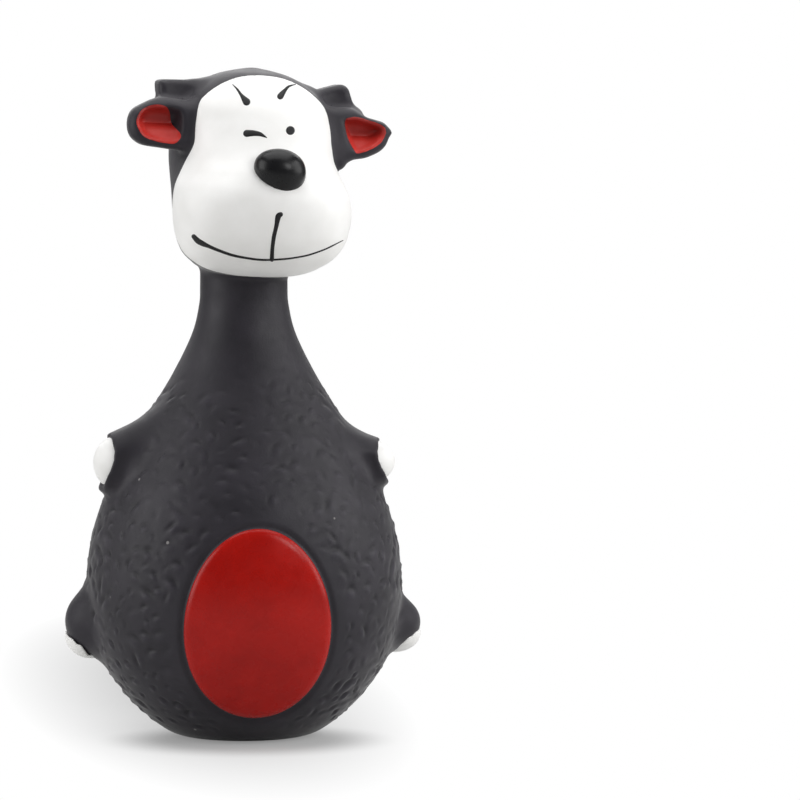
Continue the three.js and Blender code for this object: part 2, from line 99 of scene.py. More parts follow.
# Rows of shares: height, width, front reach, back reach, egg
HEAD_SHARES = [
    (0, 0.46, 0.47, 0.57, 0.15), (0.025, 0.56, 0.6, 0.62, 0.18), (0.06, 0.7, 0.72, 0.67, 0.21),
    (0.11, 0.85, 0.84, 0.73, 0.23), (0.18, 0.945, 0.94, 0.79, 0.24), (0.25, 0.985, 0.985, 0.84, 0.235),
    (0.33, 1, 1, 0.89, 0.22), (0.41, 0.985, 0.985, 0.94, 0.14), (0.49, 0.95, 0.91, 0.98, 0),
    (0.56, 0.93, 0.81, 1, -0.08), (0.64, 0.925, 0.71, 1, -0.07), (0.73, 0.915, 0.62, 0.985, -0.03),
    (0.81, 0.87, 0.54, 0.93, 0), (0.88, 0.745, 0.44, 0.82, 0), (0.935, 0.575, 0.33, 0.67, 0),
    (0.97, 0.4, 0.21, 0.48, 0), (0.99, 0.22, 0.08, 0.27, 0), (1, 0.09, -0.02, 0.12, 0),
]

# Ears and horns: outlines in the photograph's pixels, drawn on upright planes of the head
EAR_PIXELS = {
    "left": [
        (200, 108), (185, 101), (170, 98), (156.5, 98), (144, 103), (134, 108.5), (129, 116), (127.4, 126.8),
        (130, 136.5), (137, 143), (145, 145.7), (159, 147.8), (168.4, 149.2), (185, 151), (200, 148),
    ],
    "right": [
        (322, 112), (340, 108), (352, 108.5), (359.6, 112.7), (367.4, 117.3), (376.5, 120), (384, 123),
        (391, 131.7), (388, 138), (383.5, 146.4), (376, 152.7), (363, 158), (352, 159.7), (345, 163),
        (340.7, 167.8), (335.8, 169.6), (326, 166), (322, 150),
    ],
}
EAR_MIDDLE = -5.4
EAR_HALF = 2.7
EAR_ROUND = 2.3
EAR_HEIGHT = 28.0
EAR_LEAN = 0.22
CUP_PIXELS = {
    "left": [
        (138, 121), (142, 112), (148, 107.3), (155, 105.5), (165, 106), (175, 107), (182, 110),
        (184.5, 117), (184, 126), (182.5, 134), (180, 140), (173, 143), (165, 142.6), (155, 140.2),
        (145, 136), (140, 129),
    ],
    "right": [
        (345, 121), (352, 118.5), (360, 118), (369, 119.5), (378, 122.5), (385, 127), (385.5, 133),
        (380, 142), (371, 148), (362, 151.5), (355.4, 152), (349, 144), (345.5, 133),
    ],
}
CUP_DEPTH = 3.4
CUP_WALL = 0.45
CUP_CREASES = {"left": 29.0, "right": 28.2}
CUP_ROOF = 0.6
CUP_LOBE = 2.1
CUP_LOBE_REACH = 1.3
CUP_LOBE_LEAN = 0.12
CUP_SLOPE = 1.3
CUP_BEND = 0.5
CUP_ROUND = 0.7
RED_PIXELS = {
    "left": [
        (136, 121), (141, 111), (148, 105.5), (155, 104.4), (163, 105), (169, 107.5), (173, 112.7),
        (174.5, 119), (176.5, 126), (180.5, 132), (181, 137), (178, 141), (173, 144.5), (165, 144),
        (155, 141.6), (144, 137.5), (138, 129),
    ],
    "right": [
        (347, 119.5), (352, 117.5), (360, 116.5), (370, 118), (379, 121), (386.5, 126), (387, 133.5),
        (381, 143), (371, 149.5), (362, 152.5), (355.4, 153), (350.5, 142), (348, 131),
    ],
}
HORN_PIXELS = {
    "left": [
        (215, 84), (200, 79), (188, 79.5), (175, 79.2), (164, 79.3), (160, 81.5), (159, 88), (159, 95),
        (157, 101), (165, 110), (190, 118), (215, 110),
    ],
    "right": [
        (290, 90), (308, 86.6), (318.5, 89.4), (330, 87), (341.5, 84.5), (347, 86), (350, 90), (351.5, 97),
        (353.5, 104), (360, 112.5), (352, 122), (325, 122), (290, 110),
    ],
}
HORN_MIDDLE = -1.6
HORN_HALF = 3.2
HORN_ROUND = 1.7
HORN_ROOT = 32.0
HORN_LEAN = 0.5
HORN_DENT_PIXELS = {"left": (181, 95.5), "right": (338, 105)}
HORN_DENT_RADII = {"left": (3.4, 0.9, 2.1), "right": (2.8, 1.0, 2.5)}
HORN_DENT_ROUND = 2.0
# Outlines: points between two drawn ones, and how far from an outline its distance is worked out
OUTLINE_SAMPLES = 5
OUTLINE_MARGIN = 5.0

# Limbs, right-hand side, and what differs between the sides
SIDES = {"left": -1, "right": 1}
ARM_SIZES = {-1: 1.0, 1: 0.8}
ARM_SHORTER = {-1: 0.0, 1: 0.7}
ARM_MIDDLE = 53.4
ARM_ROOT = (13.5, -3.6, 58.8)
ARM_TIP = (26.5, -4.4, 53.6)
ARM_RADII = (6.0, 5.4)
ARM_HOOF = (24.6, -4.4, 53.8)
ARM_HOOF_RADII = (5.1, 4.7, 5.3)
ARM_CUFF = [
    (44.0, 28.4), (46.8, 28.6), (48.4, 28.5), (49.6, 27.9), (50.8, 27.3), (52.6, 26.4), (54.6, 25.7),
    (56.4, 25.6), (57.6, 26.1), (59.0, 26.7), (61.0, 27.4),
]
LEG_CENTRE = (27.6, 2.0, 22.6)
LEG_RADII = (7.2, 6.4, 6.9)
LEG_HOOF = (29.8, 2.2, 20.0)
LEG_HOOF_RADII = (5.1, 4.8, 4.7)
LEG_CUFF = [
    (24.0, 14.9), (28.1, 15.2), (30.5, 15.4), (31.1, 16.0), (31.9, 17.0), (32.7, 17.3), (33.4, 18.3),
    (34.3, 19.1), (36.0, 20.2),
]
LEG_MIDDLE = 18.0
LEG_SIZES = {-1: 1.0, 1: 0.82}
LEG_CUFF_RISES = {-1: 0.0, 1: 1.0}
# Cuffs: the wave along each, and the share of a true distance that their field has
CUFF_WAVE = 0.3
ARM_CUFF_TURNS = 0.9
LEG_CUFF_TURNS = 1.1
ARM_CUFF_SHARE = 0.95
LEG_CUFF_SHARE = 0.85
CUFF_ROUND = 0.6
CUFF_DEPTH = 0.9
HOOF_ROUND = 0.4
HOOF_BOX = 6.5
CLEFT_DEPTH = 0.2
CLEFT_WIDTH = 0.5
CLEFT_REACHES = (0.5, 3)
UNDERARM = (25.0, -12.0, 52.8)
UNDERARM_RADII = (1.5, 2.4, 4.2)
UNDERARM_TILT = math.radians(-28)

# Fillets between the parts of the skin
LIMB_FILLETS = {"arm_": 3.2, "leg_": 3.0}
HEAD_FILLETS = {"horn_": 1.6, "ear_": 1.4}
UNDERARM_FILLET = 1.6
CUP_FILLET = 0.5
NECK_FILLET = 1.0
HEAD_START = 85.0

# Belly oval
BELLY_CENTRE = (0.3, 24.0)
BELLY_HALF_WIDTH = 14.05
BELLY_HALF_LENGTH = 18.4
BELLY_EGG = 0.05

# Working of the meshes: samples of a profile, guards against division, and steps on the way to the surface
PROFILE_SAMPLES = 900
FLAT_GUARD = 0.01
TINY = 1e-6
LEAST_RISE = 1e-12
SLOPE_FLOOR = 0.3
LONGEST_STEP = 0.4
SETTLE_ROUNDS = 2
RELAX_ROUNDS = 3
RELAX_SHARE = 0.6
# A field's value where a piece has no place
NOWHERE = -50.0


def smooth_min(first, second, width):
    blend = np.maximum(width - np.abs(first - second), 0) / width
    return np.minimum(first, second) - blend * blend * width / 4


def smooth_max(first, second, width):
    return -smooth_min(-first, -second, width)


def smooth_step(value, start, end):
    along = np.clip((value - start) / (end - start), 0, 1)
    return along * along * (3 - 2 * along)


def through_rows(rows, samples):
    """A smooth curve through the rows, sampled evenly."""
    rows = np.array(rows, float)
    spans = len(rows) - 1
    place = np.linspace(0, 1, samples) * spans
    span = np.minimum(place.astype(int), spans - 1)
    along = (place - span)[:, None]
    start, end = rows[span], rows[span + 1]
    leaving = (end - rows[np.maximum(span - 1, 0)]) / 2
    arriving = (rows[np.minimum(span + 2, spans)] - start) / 2
    rise = end - start
    bend = 3 * rise - 2 * leaving - arriving
    return start + leaving * along + bend * along ** 2 + (leaving + arriving - 2 * rise) * along ** 3


# Distances to the shapes, negative inside them

class Profile:
    """Rows of height, half width and more columns, as smooth functions of the height."""

    def __init__(self, rows):
        table = through_rows(rows, PROFILE_SAMPLES)
        self.heights = table[:, 0]
        self.squares = table[:, 1] ** 2
        self.slopes = np.gradient(self.squares, self.heights)
        self.more = table[:, 2:]

    def at(self, heights):
        low, high = self.heights[0], self.heights[-1]
        above = np.maximum(heights - high, 0) * self.slopes[-1]
        beyond = above + np.minimum(heights - low, 0) * self.slopes[0]
        squares = np.interp(heights, self.heights, self.squares) + beyond
        slopes = np.interp(heights, self.heights, self.slopes)
        return squares, slopes, [np.interp(heights, self.heights, column) for column in self.more.T]


def round_distance(reach_squared, squares, slopes):
    return (reach_squared - squares) / np.sqrt(4 * reach_squared + slopes ** 2 + FLAT_GUARD)


def body_rows():
    rows = []
    for rise, swell in BELLY_SWELL_SHARES:
        width = BASE_WIDTH + (BODY_WIDTH - BASE_WIDTH) * swell
        depth = BASE_DEPTH + (BODY_DEPTH - BASE_DEPTH) * swell
        rows.append((WIDEST_HEIGHT * rise, width / 2, depth / width))
    for rise, swell in NECK_SWELL_SHARES:
        width = NECK_WIDTH + (BODY_WIDTH - NECK_WIDTH) * swell
        depth = NECK_WIDTH + (BODY_DEPTH - NECK_WIDTH) * swell
        rows.append((WIDEST_HEIGHT + (NECK_HEIGHT - WIDEST_HEIGHT) * rise, width / 2, depth / width))
    return rows


def head_rows():
    return [
        (HEAD_HEIGHT * rise, HEAD_WIDTH / 2 * width, MUZZLE_REACH * front, NAPE_REACH * back, egg)
        for rise, width, front, back, egg in HEAD_SHARES
    ]


BODY_PROFILE = Profile(body_rows())
HEAD_PROFILE = Profile(head_rows())


def body_distance(points):
    x, y, z = points.T
    squares, slopes, (ratio,) = BODY_PROFILE.at(z)
    side = round_distance(x ** 2 + (y / ratio) ** 2, squares, slopes)
    return np.maximum(smooth_max(side, -z, BASE_ROUND), z - NECK_TOP)


def turned(points, angle, first, second):
    """Points turned by an angle in the plane of two of their axes."""
    result = points.copy()
    result[:, first] = math.cos(angle) * points[:, first] - math.sin(angle) * points[:, second]
    result[:, second] = math.sin(angle) * points[:, first] + math.cos(angle) * points[:, second]
    return result


def to_head(points):
    """Toy to head frame: turned about Z and rolled about Y, with heights that start at the chin."""
    unrolled = turned(points - [0, 0, PIVOT_HEIGHT], HEAD_ROLL, 0, 2)
    local = turned(unrolled, -HEAD_TURN, 0, 1)
    return local - [HEAD_SHIFT, 0, CHIN_DROP]


def skull_distance(local):
    x, y, height = local.T
    squares, slopes, (front, back, egg) = HEAD_PROFILE.at(height)
    width = np.sqrt(np.maximum(squares, 1))
    depth = (front + back) / 2
    forward = (y - (back - front) / 2) / depth
    wider = (1 - egg * np.clip(forward, -1, 1)) / (1 + egg ** 2 / 2)
    power = HEAD_SQUARENESS
    reach = (np.abs(x / wider) ** power + np.abs(forward * width) ** power) ** (1 / power)
    return smooth_max(round_distance(reach ** 2, squares, slopes), -height, CHIN_ROUND)


def ellipsoid_distance(points, centre, radii):
    away = points - np.array(centre)
    near = np.sqrt(((away / radii) ** 2).sum(1)) + TINY
    slope = np.sqrt(((away / np.square(radii)) ** 2).sum(1)) + TINY
    return near * (near - 1) / slope


def capsule_distance(points, start, end, start_radius, end_radius):
    start, end = np.array(start), np.array(end)
    axis = end - start
    along = np.clip((points - start) @ axis / (axis @ axis), 0, 1)
    nearest = start + along[:, None] * axis
    radius = start_radius + (end_radius - start_radius) * along
    return np.linalg.norm(points - nearest, axis=1) - radius


def on_side(points, side):
    return points * [side, 1, 1]


class Outline:
    """A closed smooth outline on an upright plane of the head, drawn in the photograph's pixels."""

    def __init__(self, pixels, reach):
        rows = [on_head_plane(column, row, reach) for column, row in pixels]
        samples = OUTLINE_SAMPLES * len(rows)
        closed = through_rows([rows[-1], *rows, *rows[:2]], samples + 2 * OUTLINE_SAMPLES + 1)
        self.starts = closed[OUTLINE_SAMPLES:OUTLINE_SAMPLES + samples]
        self.ends = np.roll(self.starts, -1, axis=0)
        self.low = self.starts.min(axis=0) - OUTLINE_MARGIN
        self.high = self.starts.max(axis=0) + OUTLINE_MARGIN

    def distance(self, local):
        """Distances across the plane, negative inside the outline and a plain large value far from it."""
        flat = local[:, [0, 2]]
        near = ((flat > self.low) & (flat < self.high)).all(axis=1)
        result = np.full(len(flat), OUTLINE_MARGIN)
        place = flat[near][:, None, :]
        if not len(place):
            return result
        edge = self.ends - self.starts
        away = place - self.starts
        along = np.clip((away * edge).sum(2) / (edge ** 2).sum(1), 0, 1)
        distance = np.sqrt(((away - along[..., None] * edge) ** 2).sum(2)).min(axis=1)
        (x, height), (start_x, start_height), (end_x, end_height) = place.T, self.starts.T, self.ends.T
        x, height = x.T, height.T
        level = (start_height > height) != (end_height > height)
        slope = (end_x - start_x) / (end_height - start_height + LEAST_RISE)
        crossing = start_x + (height - start_height) * slope
        inside = (level & (x < crossing)).sum(axis=1) % 2 == 1
        result[near] = np.where(inside, -distance, distance)
        return result


outlines = {}


def outline(kind, name, pixels, reach):
    if (kind, name) not in outlines:
        outlines[kind, name] = Outline(pixels[name], reach)
    return outlines[kind, name]


def plate_distance(flat, y, middle, half, rounding):
    """A plate with rounded edges, from the distance to its outline."""
    side = flat + rounding
    face = np.abs(y - middle) - half + rounding
    beyond = np.hypot(np.maximum(side, 0), np.maximum(face, 0))
    return beyond + np.minimum(np.maximum(side, face), 0) - rounding


def leaned(local, height, lean):
    """Depths of points as an upright plate has them, for one that leans back above a height."""
    return local[:, 1] - lean * (local[:, 2] - height)


def ear_distance(local, name):
    flat = outline("ear", name, EAR_PIXELS, EAR_MIDDLE).distance(local)
    return plate_distance(flat, leaned(local, EAR_HEIGHT, EAR_LEAN), EAR_MIDDLE, EAR_HALF, EAR_ROUND)


def cup_distance(local, name):
    """The hollow of an ear, whose upper and lower floors meet in a crease."""
    front = EAR_MIDDLE - EAR_HALF
    flat = outline("cup", name, CUP_PIXELS, front).distance(local)
    y = leaned(local, EAR_HEIGHT, EAR_LEAN)
    wall = (flat + CUP_WALL * np.maximum(y - front, -2)) / math.hypot(1, CUP_WALL)
    away = local[:, 2] - CUP_CREASES[name]
    lower = np.minimum(away, 0)
    lobe = CUP_LOBE * (1 - np.exp(lower / CUP_LOBE_REACH)) - CUP_LOBE_LEAN * lower
    floor = (y - front - CUP_DEPTH + smooth_max(CUP_ROOF * away, lobe, CUP_BEND)) / CUP_SLOPE
    return smooth_max(wall, floor, CUP_ROUND)


def horn_distance(local, name):
    flat = outline("horn", name, HORN_PIXELS, HORN_MIDDLE).distance(local)
    upright = local.copy()
    upright[:, 1] = leaned(local, HORN_ROOT, HORN_LEAN)
    plate = plate_distance(flat, upright[:, 1], HORN_MIDDLE, HORN_HALF, HORN_ROUND)
    front = HORN_MIDDLE - HORN_HALF
    x, height = on_head_plane(*HORN_DENT_PIXELS[name], front)
    dent = ellipsoid_distance(upright, (x, front, height), HORN_DENT_RADII[name])
    return smooth_max(plate, -dent, HORN_DENT_ROUND)


def on_arm(points, side):
    """Points on the right-hand side's arm, whose height and length differ between the two sides."""
    mirrored = on_side(points, side)
    mirrored[:, 0] += ARM_SHORTER[side]
    mirrored[:, 2] = ARM_MIDDLE + (mirrored[:, 2] - ARM_MIDDLE) / ARM_SIZES[side]
    return mirrored


def on_leg(points, side):
    mirrored = on_side(points, side)
    mirrored[:, 2] = LEG_MIDDLE + (mirrored[:, 2] - LEG_MIDDLE) / LEG_SIZES[side]
    return mirrored


def arm_cuff(points, side):
    """How far a point lies beyond the arm's wavy cuff."""
    x, y, z = on_arm(points, side).T
    heights, reaches = zip(*ARM_CUFF)
    wave = CUFF_WAVE * np.sin((y - ARM_TIP[1]) * ARM_CUFF_TURNS)
    return ARM_CUFF_SHARE * (x - np.interp(z, heights, reaches) - wave)


def leg_cuff(points, side):
    """How far a point lies below the leg's wavy cuff."""
    x, y, z = on_leg(points, side).T
    reaches, heights = zip(*LEG_CUFF)
    wave = CUFF_WAVE * np.sin((y - LEG_CENTRE[1]) * LEG_CUFF_TURNS)
    return LEG_CUFF_SHARE * (np.interp(x, reaches, heights) + LEG_CUFF_RISES[side] + wave - z)


def arm_distance(points, side):
    stub = capsule_distance(on_arm(points, side), ARM_ROOT, ARM_TIP, *ARM_RADII)
    return smooth_max(stub, arm_cuff(points, side), CUFF_ROUND)


def underarm_distance(points, side):
    """The hollow in front of the arm, below the fold that runs down to its cuff."""
    away = turned(on_arm(points, side) - UNDERARM, UNDERARM_TILT, 0, 2)
    return ellipsoid_distance(away, (0, 0, 0), UNDERARM_RADII)


def leg_distance(points, side):
    stub = ellipsoid_distance(on_leg(points, side), LEG_CENTRE, LEG_RADII)
    return smooth_max(stub, leg_cuff(points, side), CUFF_ROUND)


def part_distances(points):
    """The distance to each part of the black skin by itself."""
    parts = {"body_skin": body_distance(points)}
    for name, side in SIDES.items():
        parts["arm_" + name] = arm_distance(points, side)
        parts["leg_" + name] = leg_distance(points, side)
    if points[:, 2].max() > HEAD_START:
        local = to_head(points)
        parts["head_skin"] = skull_distance(local)
        for name in SIDES:
            parts["ear_" + name] = ear_distance(local, name)
            parts["horn_" + name] = horn_distance(local, name)
    return parts


def skin_distance(points):
    """The black skin as one moulding, with the fillets between its parts."""
    parts = part_distances(points)
    trunk = parts["body_skin"]
    for name in SIDES:
        for limb, fillet in LIMB_FILLETS.items():
            trunk = smooth_min(trunk, parts[limb + name], fillet)
    for side in SIDES.values():
        trunk = smooth_max(trunk, -underarm_distance(points, side), UNDERARM_FILLET)
    if "head_skin" not in parts:
        return trunk
    local = to_head(points)
    skull = parts["head_skin"]
    for name in SIDES:
        for part, fillet in HEAD_FILLETS.items():
            skull = smooth_min(skull, parts[part + name], fillet)
    for name in SIDES:
        skull = smooth_max(skull, -cup_distance(local, name), CUP_FILLET)
    return smooth_min(trunk, skull, NECK_FILLET)


# Meshes from distances

def polygonised(distance, low, high, pitch):
    """Points and quads of the surface where the distance is zero, inside a box."""
    low, high = np.array(low, float), np.array(high, float)
    counts = np.ceil((high - low) / pitch).astype(int) + 1
    across, along, upward = (low[axis] + pitch * np.arange(counts[axis]) for axis in range(3))
    level = np.zeros((counts[0] * counts[1], 3))
    level[:, 0] = np.repeat(across, counts[1])
    level[:, 1] = np.tile(along, counts[0])
    field = np.empty(counts, np.float32)
    for index, height in enumerate(upward):
        level[:, 2] = height
        field[:, :, index] = distance(level).reshape(counts[0], counts[1])
    inside = field < 0
    corners = [(i, j, k) for i in (0, 1) for j in (0, 1) for k in (0, 1)]
    cells = tuple(counts - 1)
    count = np.zeros(cells, np.int8)
    for i, j, k in corners:
        count += inside[i:i + cells[0], j:j + cells[1], k:k + cells[2]]
    active = (count > 0) & (count < 8)
    cell = np.argwhere(active)
    number = np.full(cells, -1, np.int64)
    number[active] = np.arange(len(cell))
    values = {corner: field[tuple((cell + corner).T)] for corner in corners}
    total = np.zeros((len(cell), 3))
    crossings = np.zeros(len(cell))
    for start in corners:
        for axis in range(3):
            if start[axis] == 0:
                end = tuple(value + (index == axis) for index, value in enumerate(start))
                crossed = (values[start] < 0) != (values[end] < 0)
                share = np.where(crossed, values[start] / (values[start] - values[end] + (~crossed)), 0)
                place = np.array(start, float) + share[:, None] * (np.array(end) - np.array(start))
                total += place * crossed[:, None]
                crossings += crossed
    points = low + pitch * (cell + total / crossings[:, None])
    quads = []
    for axis in range(3):
        others = [other for other in range(3) if other != axis]
        first = np.take(inside, range(counts[axis] - 1), axis)
        second = np.take(inside, range(1, counts[axis]), axis)
        edge = np.argwhere(first != second)
        edge = edge[(edge[:, others[0]] > 0) & (edge[:, others[1]] > 0)]
        edge = edge[(edge[:, others[0]] < cells[others[0]]) & (edge[:, others[1]] < cells[others[1]])]
        ring = []
        for back, below in ((1, 1), (0, 1), (0, 0), (1, 0)):
            place = edge.copy()
            place[:, others[0]] -= back
            place[:, others[1]] -= below
            ring.append(number[tuple(place.T)])
        quad = np.column_stack(ring)
        outward = first[tuple(edge.T)] != (axis == 1)
        quads.append(np.where(outward[:, None], quad, quad[:, ::-1]))
    return points, np.vstack(quads)


def gradient(points, distance, step=0.03):
    slopes = []
    for axis in range(3):
        offset = np.zeros(3)
        offset[axis] = step
        slopes.append((distance(points + offset) - distance(points - offset)) / (2 * step))
    return np.column_stack(slopes)


def settled(points, distance, rounds=3):
    """Points drawn onto the surface where the distance is zero."""
    for _ in range(rounds):
        slope = gradient(points, distance)
        size = np.maximum((slope ** 2).sum(1), SLOPE_FLOOR)
        move = np.clip(distance(points) / size, -LONGEST_STEP, LONGEST_STEP)
        points = points - slope * move[:, None]
    return points


def corner_sums(quads, values, count):
    """For each point, the sum of the values that its quads have at it, one row of values for each corner."""
    sums = np.zeros((count, 3))
    for corner, value in zip(quads.T, values):
        for axis in range(3):
            sums[:, axis] += np.bincount(corner, value[:, axis], count)
    return sums


def vertex_normals(points, quads):
    across = points[quads[:, 2]] - points[quads[:, 0]]
    upward = points[quads[:, 3]] - points[quads[:, 1]]
    normals = corner_sums(quads, [np.cross(across, upward)] * 4, len(points))
    return normals / np.maximum(np.linalg.norm(normals, axis=1), TINY)[:, None]


def relaxed(points, quads, rounds):
    """Points moved along the surface towards the middle of their neighbours."""
    uses = np.bincount(quads.ravel(), minlength=len(points))
    for _ in range(rounds):
        places = [points[corner] for corner in quads.T]
        neighbours = [places[(corner + 1) % 4] + places[(corner + 3) % 4] for corner in range(4)]
        move = corner_sums(quads, neighbours, len(points)) / (2 * uses)[:, None] - points
        normals = vertex_normals(points, quads)
        move -= normals * (move * normals).sum(1)[:, None]
        points = points + move * RELAX_SHARE
    return points


def smooth_surface(distance, low, high, pitch):
    points, quads = polygonised(distance, low, high, pitch)
    points = relaxed(settled(points, distance), quads, RELAX_ROUNDS)
    return settled(points, distance, SETTLE_ROUNDS), quads


def clipped(points, normals, faces, field, shade_and_wear=None):
    """The part of a mesh where the field is positive, cut along its zero line, with the painted shade and
    wear there.
    """
    shade_and_wear = field if shade_and_wear is None else shade_and_wear
    kept = field > 0
    index = np.full(len(points), -1)
    index[kept] = np.arange(kept.sum())
    new_points = list(points[kept])
    new_normals = list(normals[kept])
    values = list(shade_and_wear[kept])
    state = kept[faces]
    new_faces = [tuple(face) for face in index[faces[state.all(1)]]]
    cuts = {}
    for face in faces[state.any(1) & ~state.all(1)]:
        outline = []
        for start, end in zip(face, np.roll(face, -1)):
            if kept[start]:
                outline.append(index[start])
            if kept[start] != kept[end]:
                edge = (min(start, end), max(start, end))
                if edge not in cuts:
                    low, high = edge
                    share = field[low] / (field[low] - field[high])
                    cuts[edge] = len(new_points)
                    new_points.append(points[low] + share * (points[high] - points[low]))
                    new_normals.append(normals[low] + share * (normals[high] - normals[low]))
                    values.append(shade_and_wear[low] + share * (shade_and_wear[high] - shade_and_wear[low]))
                outline.append(cuts[edge])
        if len(outline) > 2:
            new_faces.append(tuple(outline))
    new_normals = np.array(new_normals)
    new_normals /= np.linalg.norm(new_normals, axis=1)[:, None]
    return np.array(new_points), new_normals, new_faces, np.array(values)


def add_piece(node, body, slot, points, faces, normals=None, shade_and_wear=None):
    """The visible piece in the place of a node. It rides on a body, or stays loose without one."""
    name = node + "_look"
    mesh = bpy.data.meshes.new(name)
    mesh.from_pydata((np.array(points) * METRE).tolist(), [], [tuple(map(int, face)) for face in faces])
    mesh.polygons.foreach_set("use_smooth", [True] * len(mesh.polygons))
    mesh.materials.append(MATERIALS[slot])
    mesh.update()
    if normals is not None:
        mesh.normals_split_custom_set_from_vertices(np.array(normals).tolist())
    if shade_and_wear is not None:
        values = np.array(shade_and_wear, np.float32)
        mesh.attributes.new("shade_and_wear", "FLOAT", "POINT").data.foreach_set("value", values)
    piece = bpy.data.objects.new(name, mesh)
    bpy.context.collection.objects.link(piece)
    if body:
        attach(piece, body)
    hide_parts(node)
    return piece


# Camera

def view_direction(azimuth, elevation):
    level = math.cos(elevation)
    return np.array([math.sin(azimuth) * level, -math.cos(azimuth) * level, math.sin(elevation)])


BACKWARD = view_direction(VIEW_AZIMUTH, VIEW_ELEVATION)
RIGHTWARD = np.array([math.cos(VIEW_AZIMUTH), math.sin(VIEW_AZIMUTH), 0])
UPWARD = np.cross(BACKWARD, RIGHTWARD)
AIM = RIGHTWARD * (PIXELS / 2 - AXIS_COLUMN) * PIXEL_SIZE
AIM = AIM + [0, 0, (FLOOR_ROW - PIXELS / 2) * PIXEL_SIZE]
EYE = AIM + BACKWARD * VIEW_DISTANCE


def add_camera():
    camera = bpy.data.objects.new("camera", bpy.data.cameras.new("camera"))
    bpy.context.collection.objects.link(camera)
    camera.data.sensor_width = SENSOR
    camera.data.lens = SENSOR * VIEW_DISTANCE / (PIXELS * PIXEL_SIZE)
    camera.data.clip_start = CLIP_START
    camera.data.clip_end = CLIP_END
    camera.location = EYE * METRE
    camera.rotation_euler = Vector(-BACKWARD).to_track_quat("-Z", "Y").to_euler()
    bpy.context.scene.camera = camera


def pixel_ray(column, row):
    ray = RIGHTWARD * (column - PIXELS / 2) * PIXEL_SIZE - UPWARD * (row - PIXELS / 2) * PIXEL_SIZE
    ray = ray - BACKWARD * VIEW_DISTANCE
    return ray / np.linalg.norm(ray)


def on_head_plane(column, row, reach):
    """Where a pixel's ray meets an upright plane of the head: across and up."""
    eye, ahead = to_head(np.array([EYE, EYE + pixel_ray(column, row) * VIEW_DISTANCE]))
    place = eye + (ahead - eye) * (reach - eye[1]) / (ahead[1] - eye[1])
    return place[[0, 2]]


# Materials

# Each surface: its darker and lighter colour, roughness, grain and specular level
SURFACES = {
    "black_latex": ((0.0175, 0.0158, 0.0205), (0.0255, 0.0228, 0.0295), 0.5, 0.22, 0.24),
    "white_latex": ((0.8, 0.795, 0.78), (0.86, 0.855, 0.845), 0.42, 0.08, 0.4),
    "red_latex": ((0.3, 0.004, 0.002), (0.38, 0.006, 0.003), 0.28, 0.12, 0.2),
    "ear_red": ((0.4, 0.014, 0.009), (0.53, 0.032, 0.024), 0.42, 0.2, 0.28),
    "nose_gloss": ((0.005, 0.005, 0.006), (0.008, 0.008, 0.009), 0.3, 0.1, 0.22),
    "line_paint": ((0.008, 0.008, 0.0085), (0.014, 0.014, 0.015), 0.5, 0.06, 0.25),
    "fibre_filling": ((0.72, 0.7, 0.64), (0.86, 0.85, 0.8), 0.9, 0.9, 0.2),
    "squeaker_plastic": ((0.74, 0.72, 0.66), (0.79, 0.77, 0.71), 0.36, 0.06, 0.5),
    "reed_film": ((0.55, 0.5, 0.38), (0.62, 0.57, 0.44), 0.22, 0.04, 0.5),
}
# Painted shade and wear of the black skin: from a dent's bottom, over the level skin, to a bump's top
# Dents darkened as painted shade; bump tops paler, partly rubbed paint and partly painted highlight
SHADE_AND_WEAR_STOPS = [(0, (0.5, 0.5, 0.51)), (0.5, (1, 1, 1)), (1, (1.65, 1.65, 1.65))]
SHADE_AND_WEAR_RANGE = {"From Min": -1.0, "From Max": 1.0}
# Colours with painted shade: the black skin's dents, and the roof of each ear's hollow
SHADED_AND_WORN = ("black_latex", "ear_red")
# Noise over the surfaces: scale and detail of the clouds of colour, of the uneven gloss and of the grain
CLOUDS = (160, 4)
UNEVENNESS = (420, 3)
GRAIN = (2600, 4)
GRAIN_HEIGHT = 0.0001
NOISE_LOW = 0.3
NOISE_HIGH = 0.7
ROUGHNESS_SPREAD = 0.05
# Pale specks on the black skin, one in five cells
SPECK_COLOUR = (0.2, 0.19, 0.19)
SPECK_SCALE = 190
SPECK_STOPS = [(0.045, (1, 1, 1)), (0.07, (0, 0, 0))]
SPECKLESS_SHARE = 0.8
SHEEN_WEIGHT = 0.24
SHEEN_ROUGHNESS = 0.35


def noise(nodes, links, scale, detail):
    coordinates = nodes.new("ShaderNodeTexCoord")
    texture = nodes.new("ShaderNodeTexNoise")
    texture.inputs["Scale"].default_value = scale
    texture.inputs["Detail"].default_value = detail
    links.new(coordinates.outputs["Object"], texture.inputs["Vector"])
    return texture.outputs["Fac"]


def ramp(nodes, links, source, stops):
    blend = nodes.new("ShaderNodeValToRGB")
    while len(blend.color_ramp.elements) < len(stops):
        blend.color_ramp.elements.new(0.5)
    for element, (place, colour) in zip(blend.color_ramp.elements, stops):
        element.position = place
        element.color = (*colour, 1)
    links.new(source, blend.inputs["Fac"])
    return blend.outputs["Color"]


def mapped(nodes, links, source, ends):
    """The source stretched from one range to another, whose ends have the names of the node's inputs."""
    spread = nodes.new("ShaderNodeMapRange")
    for end, value in ends.items():
        spread.inputs[end].default_value = value
    links.new(source, spread.inputs["Value"])
    return spread


def combined(nodes, links, kind, operation, first, second):
    """A maths node on two inputs, each a socket or a plain value."""
    node = nodes.new(kind)
    node.operation = operation
    for slot, value in enumerate((first, second)):
        if isinstance(value, bpy.types.NodeSocket):
            links.new(value, node.inputs[slot])
        else:
            node.inputs[slot].default_value = value
    return node.outputs


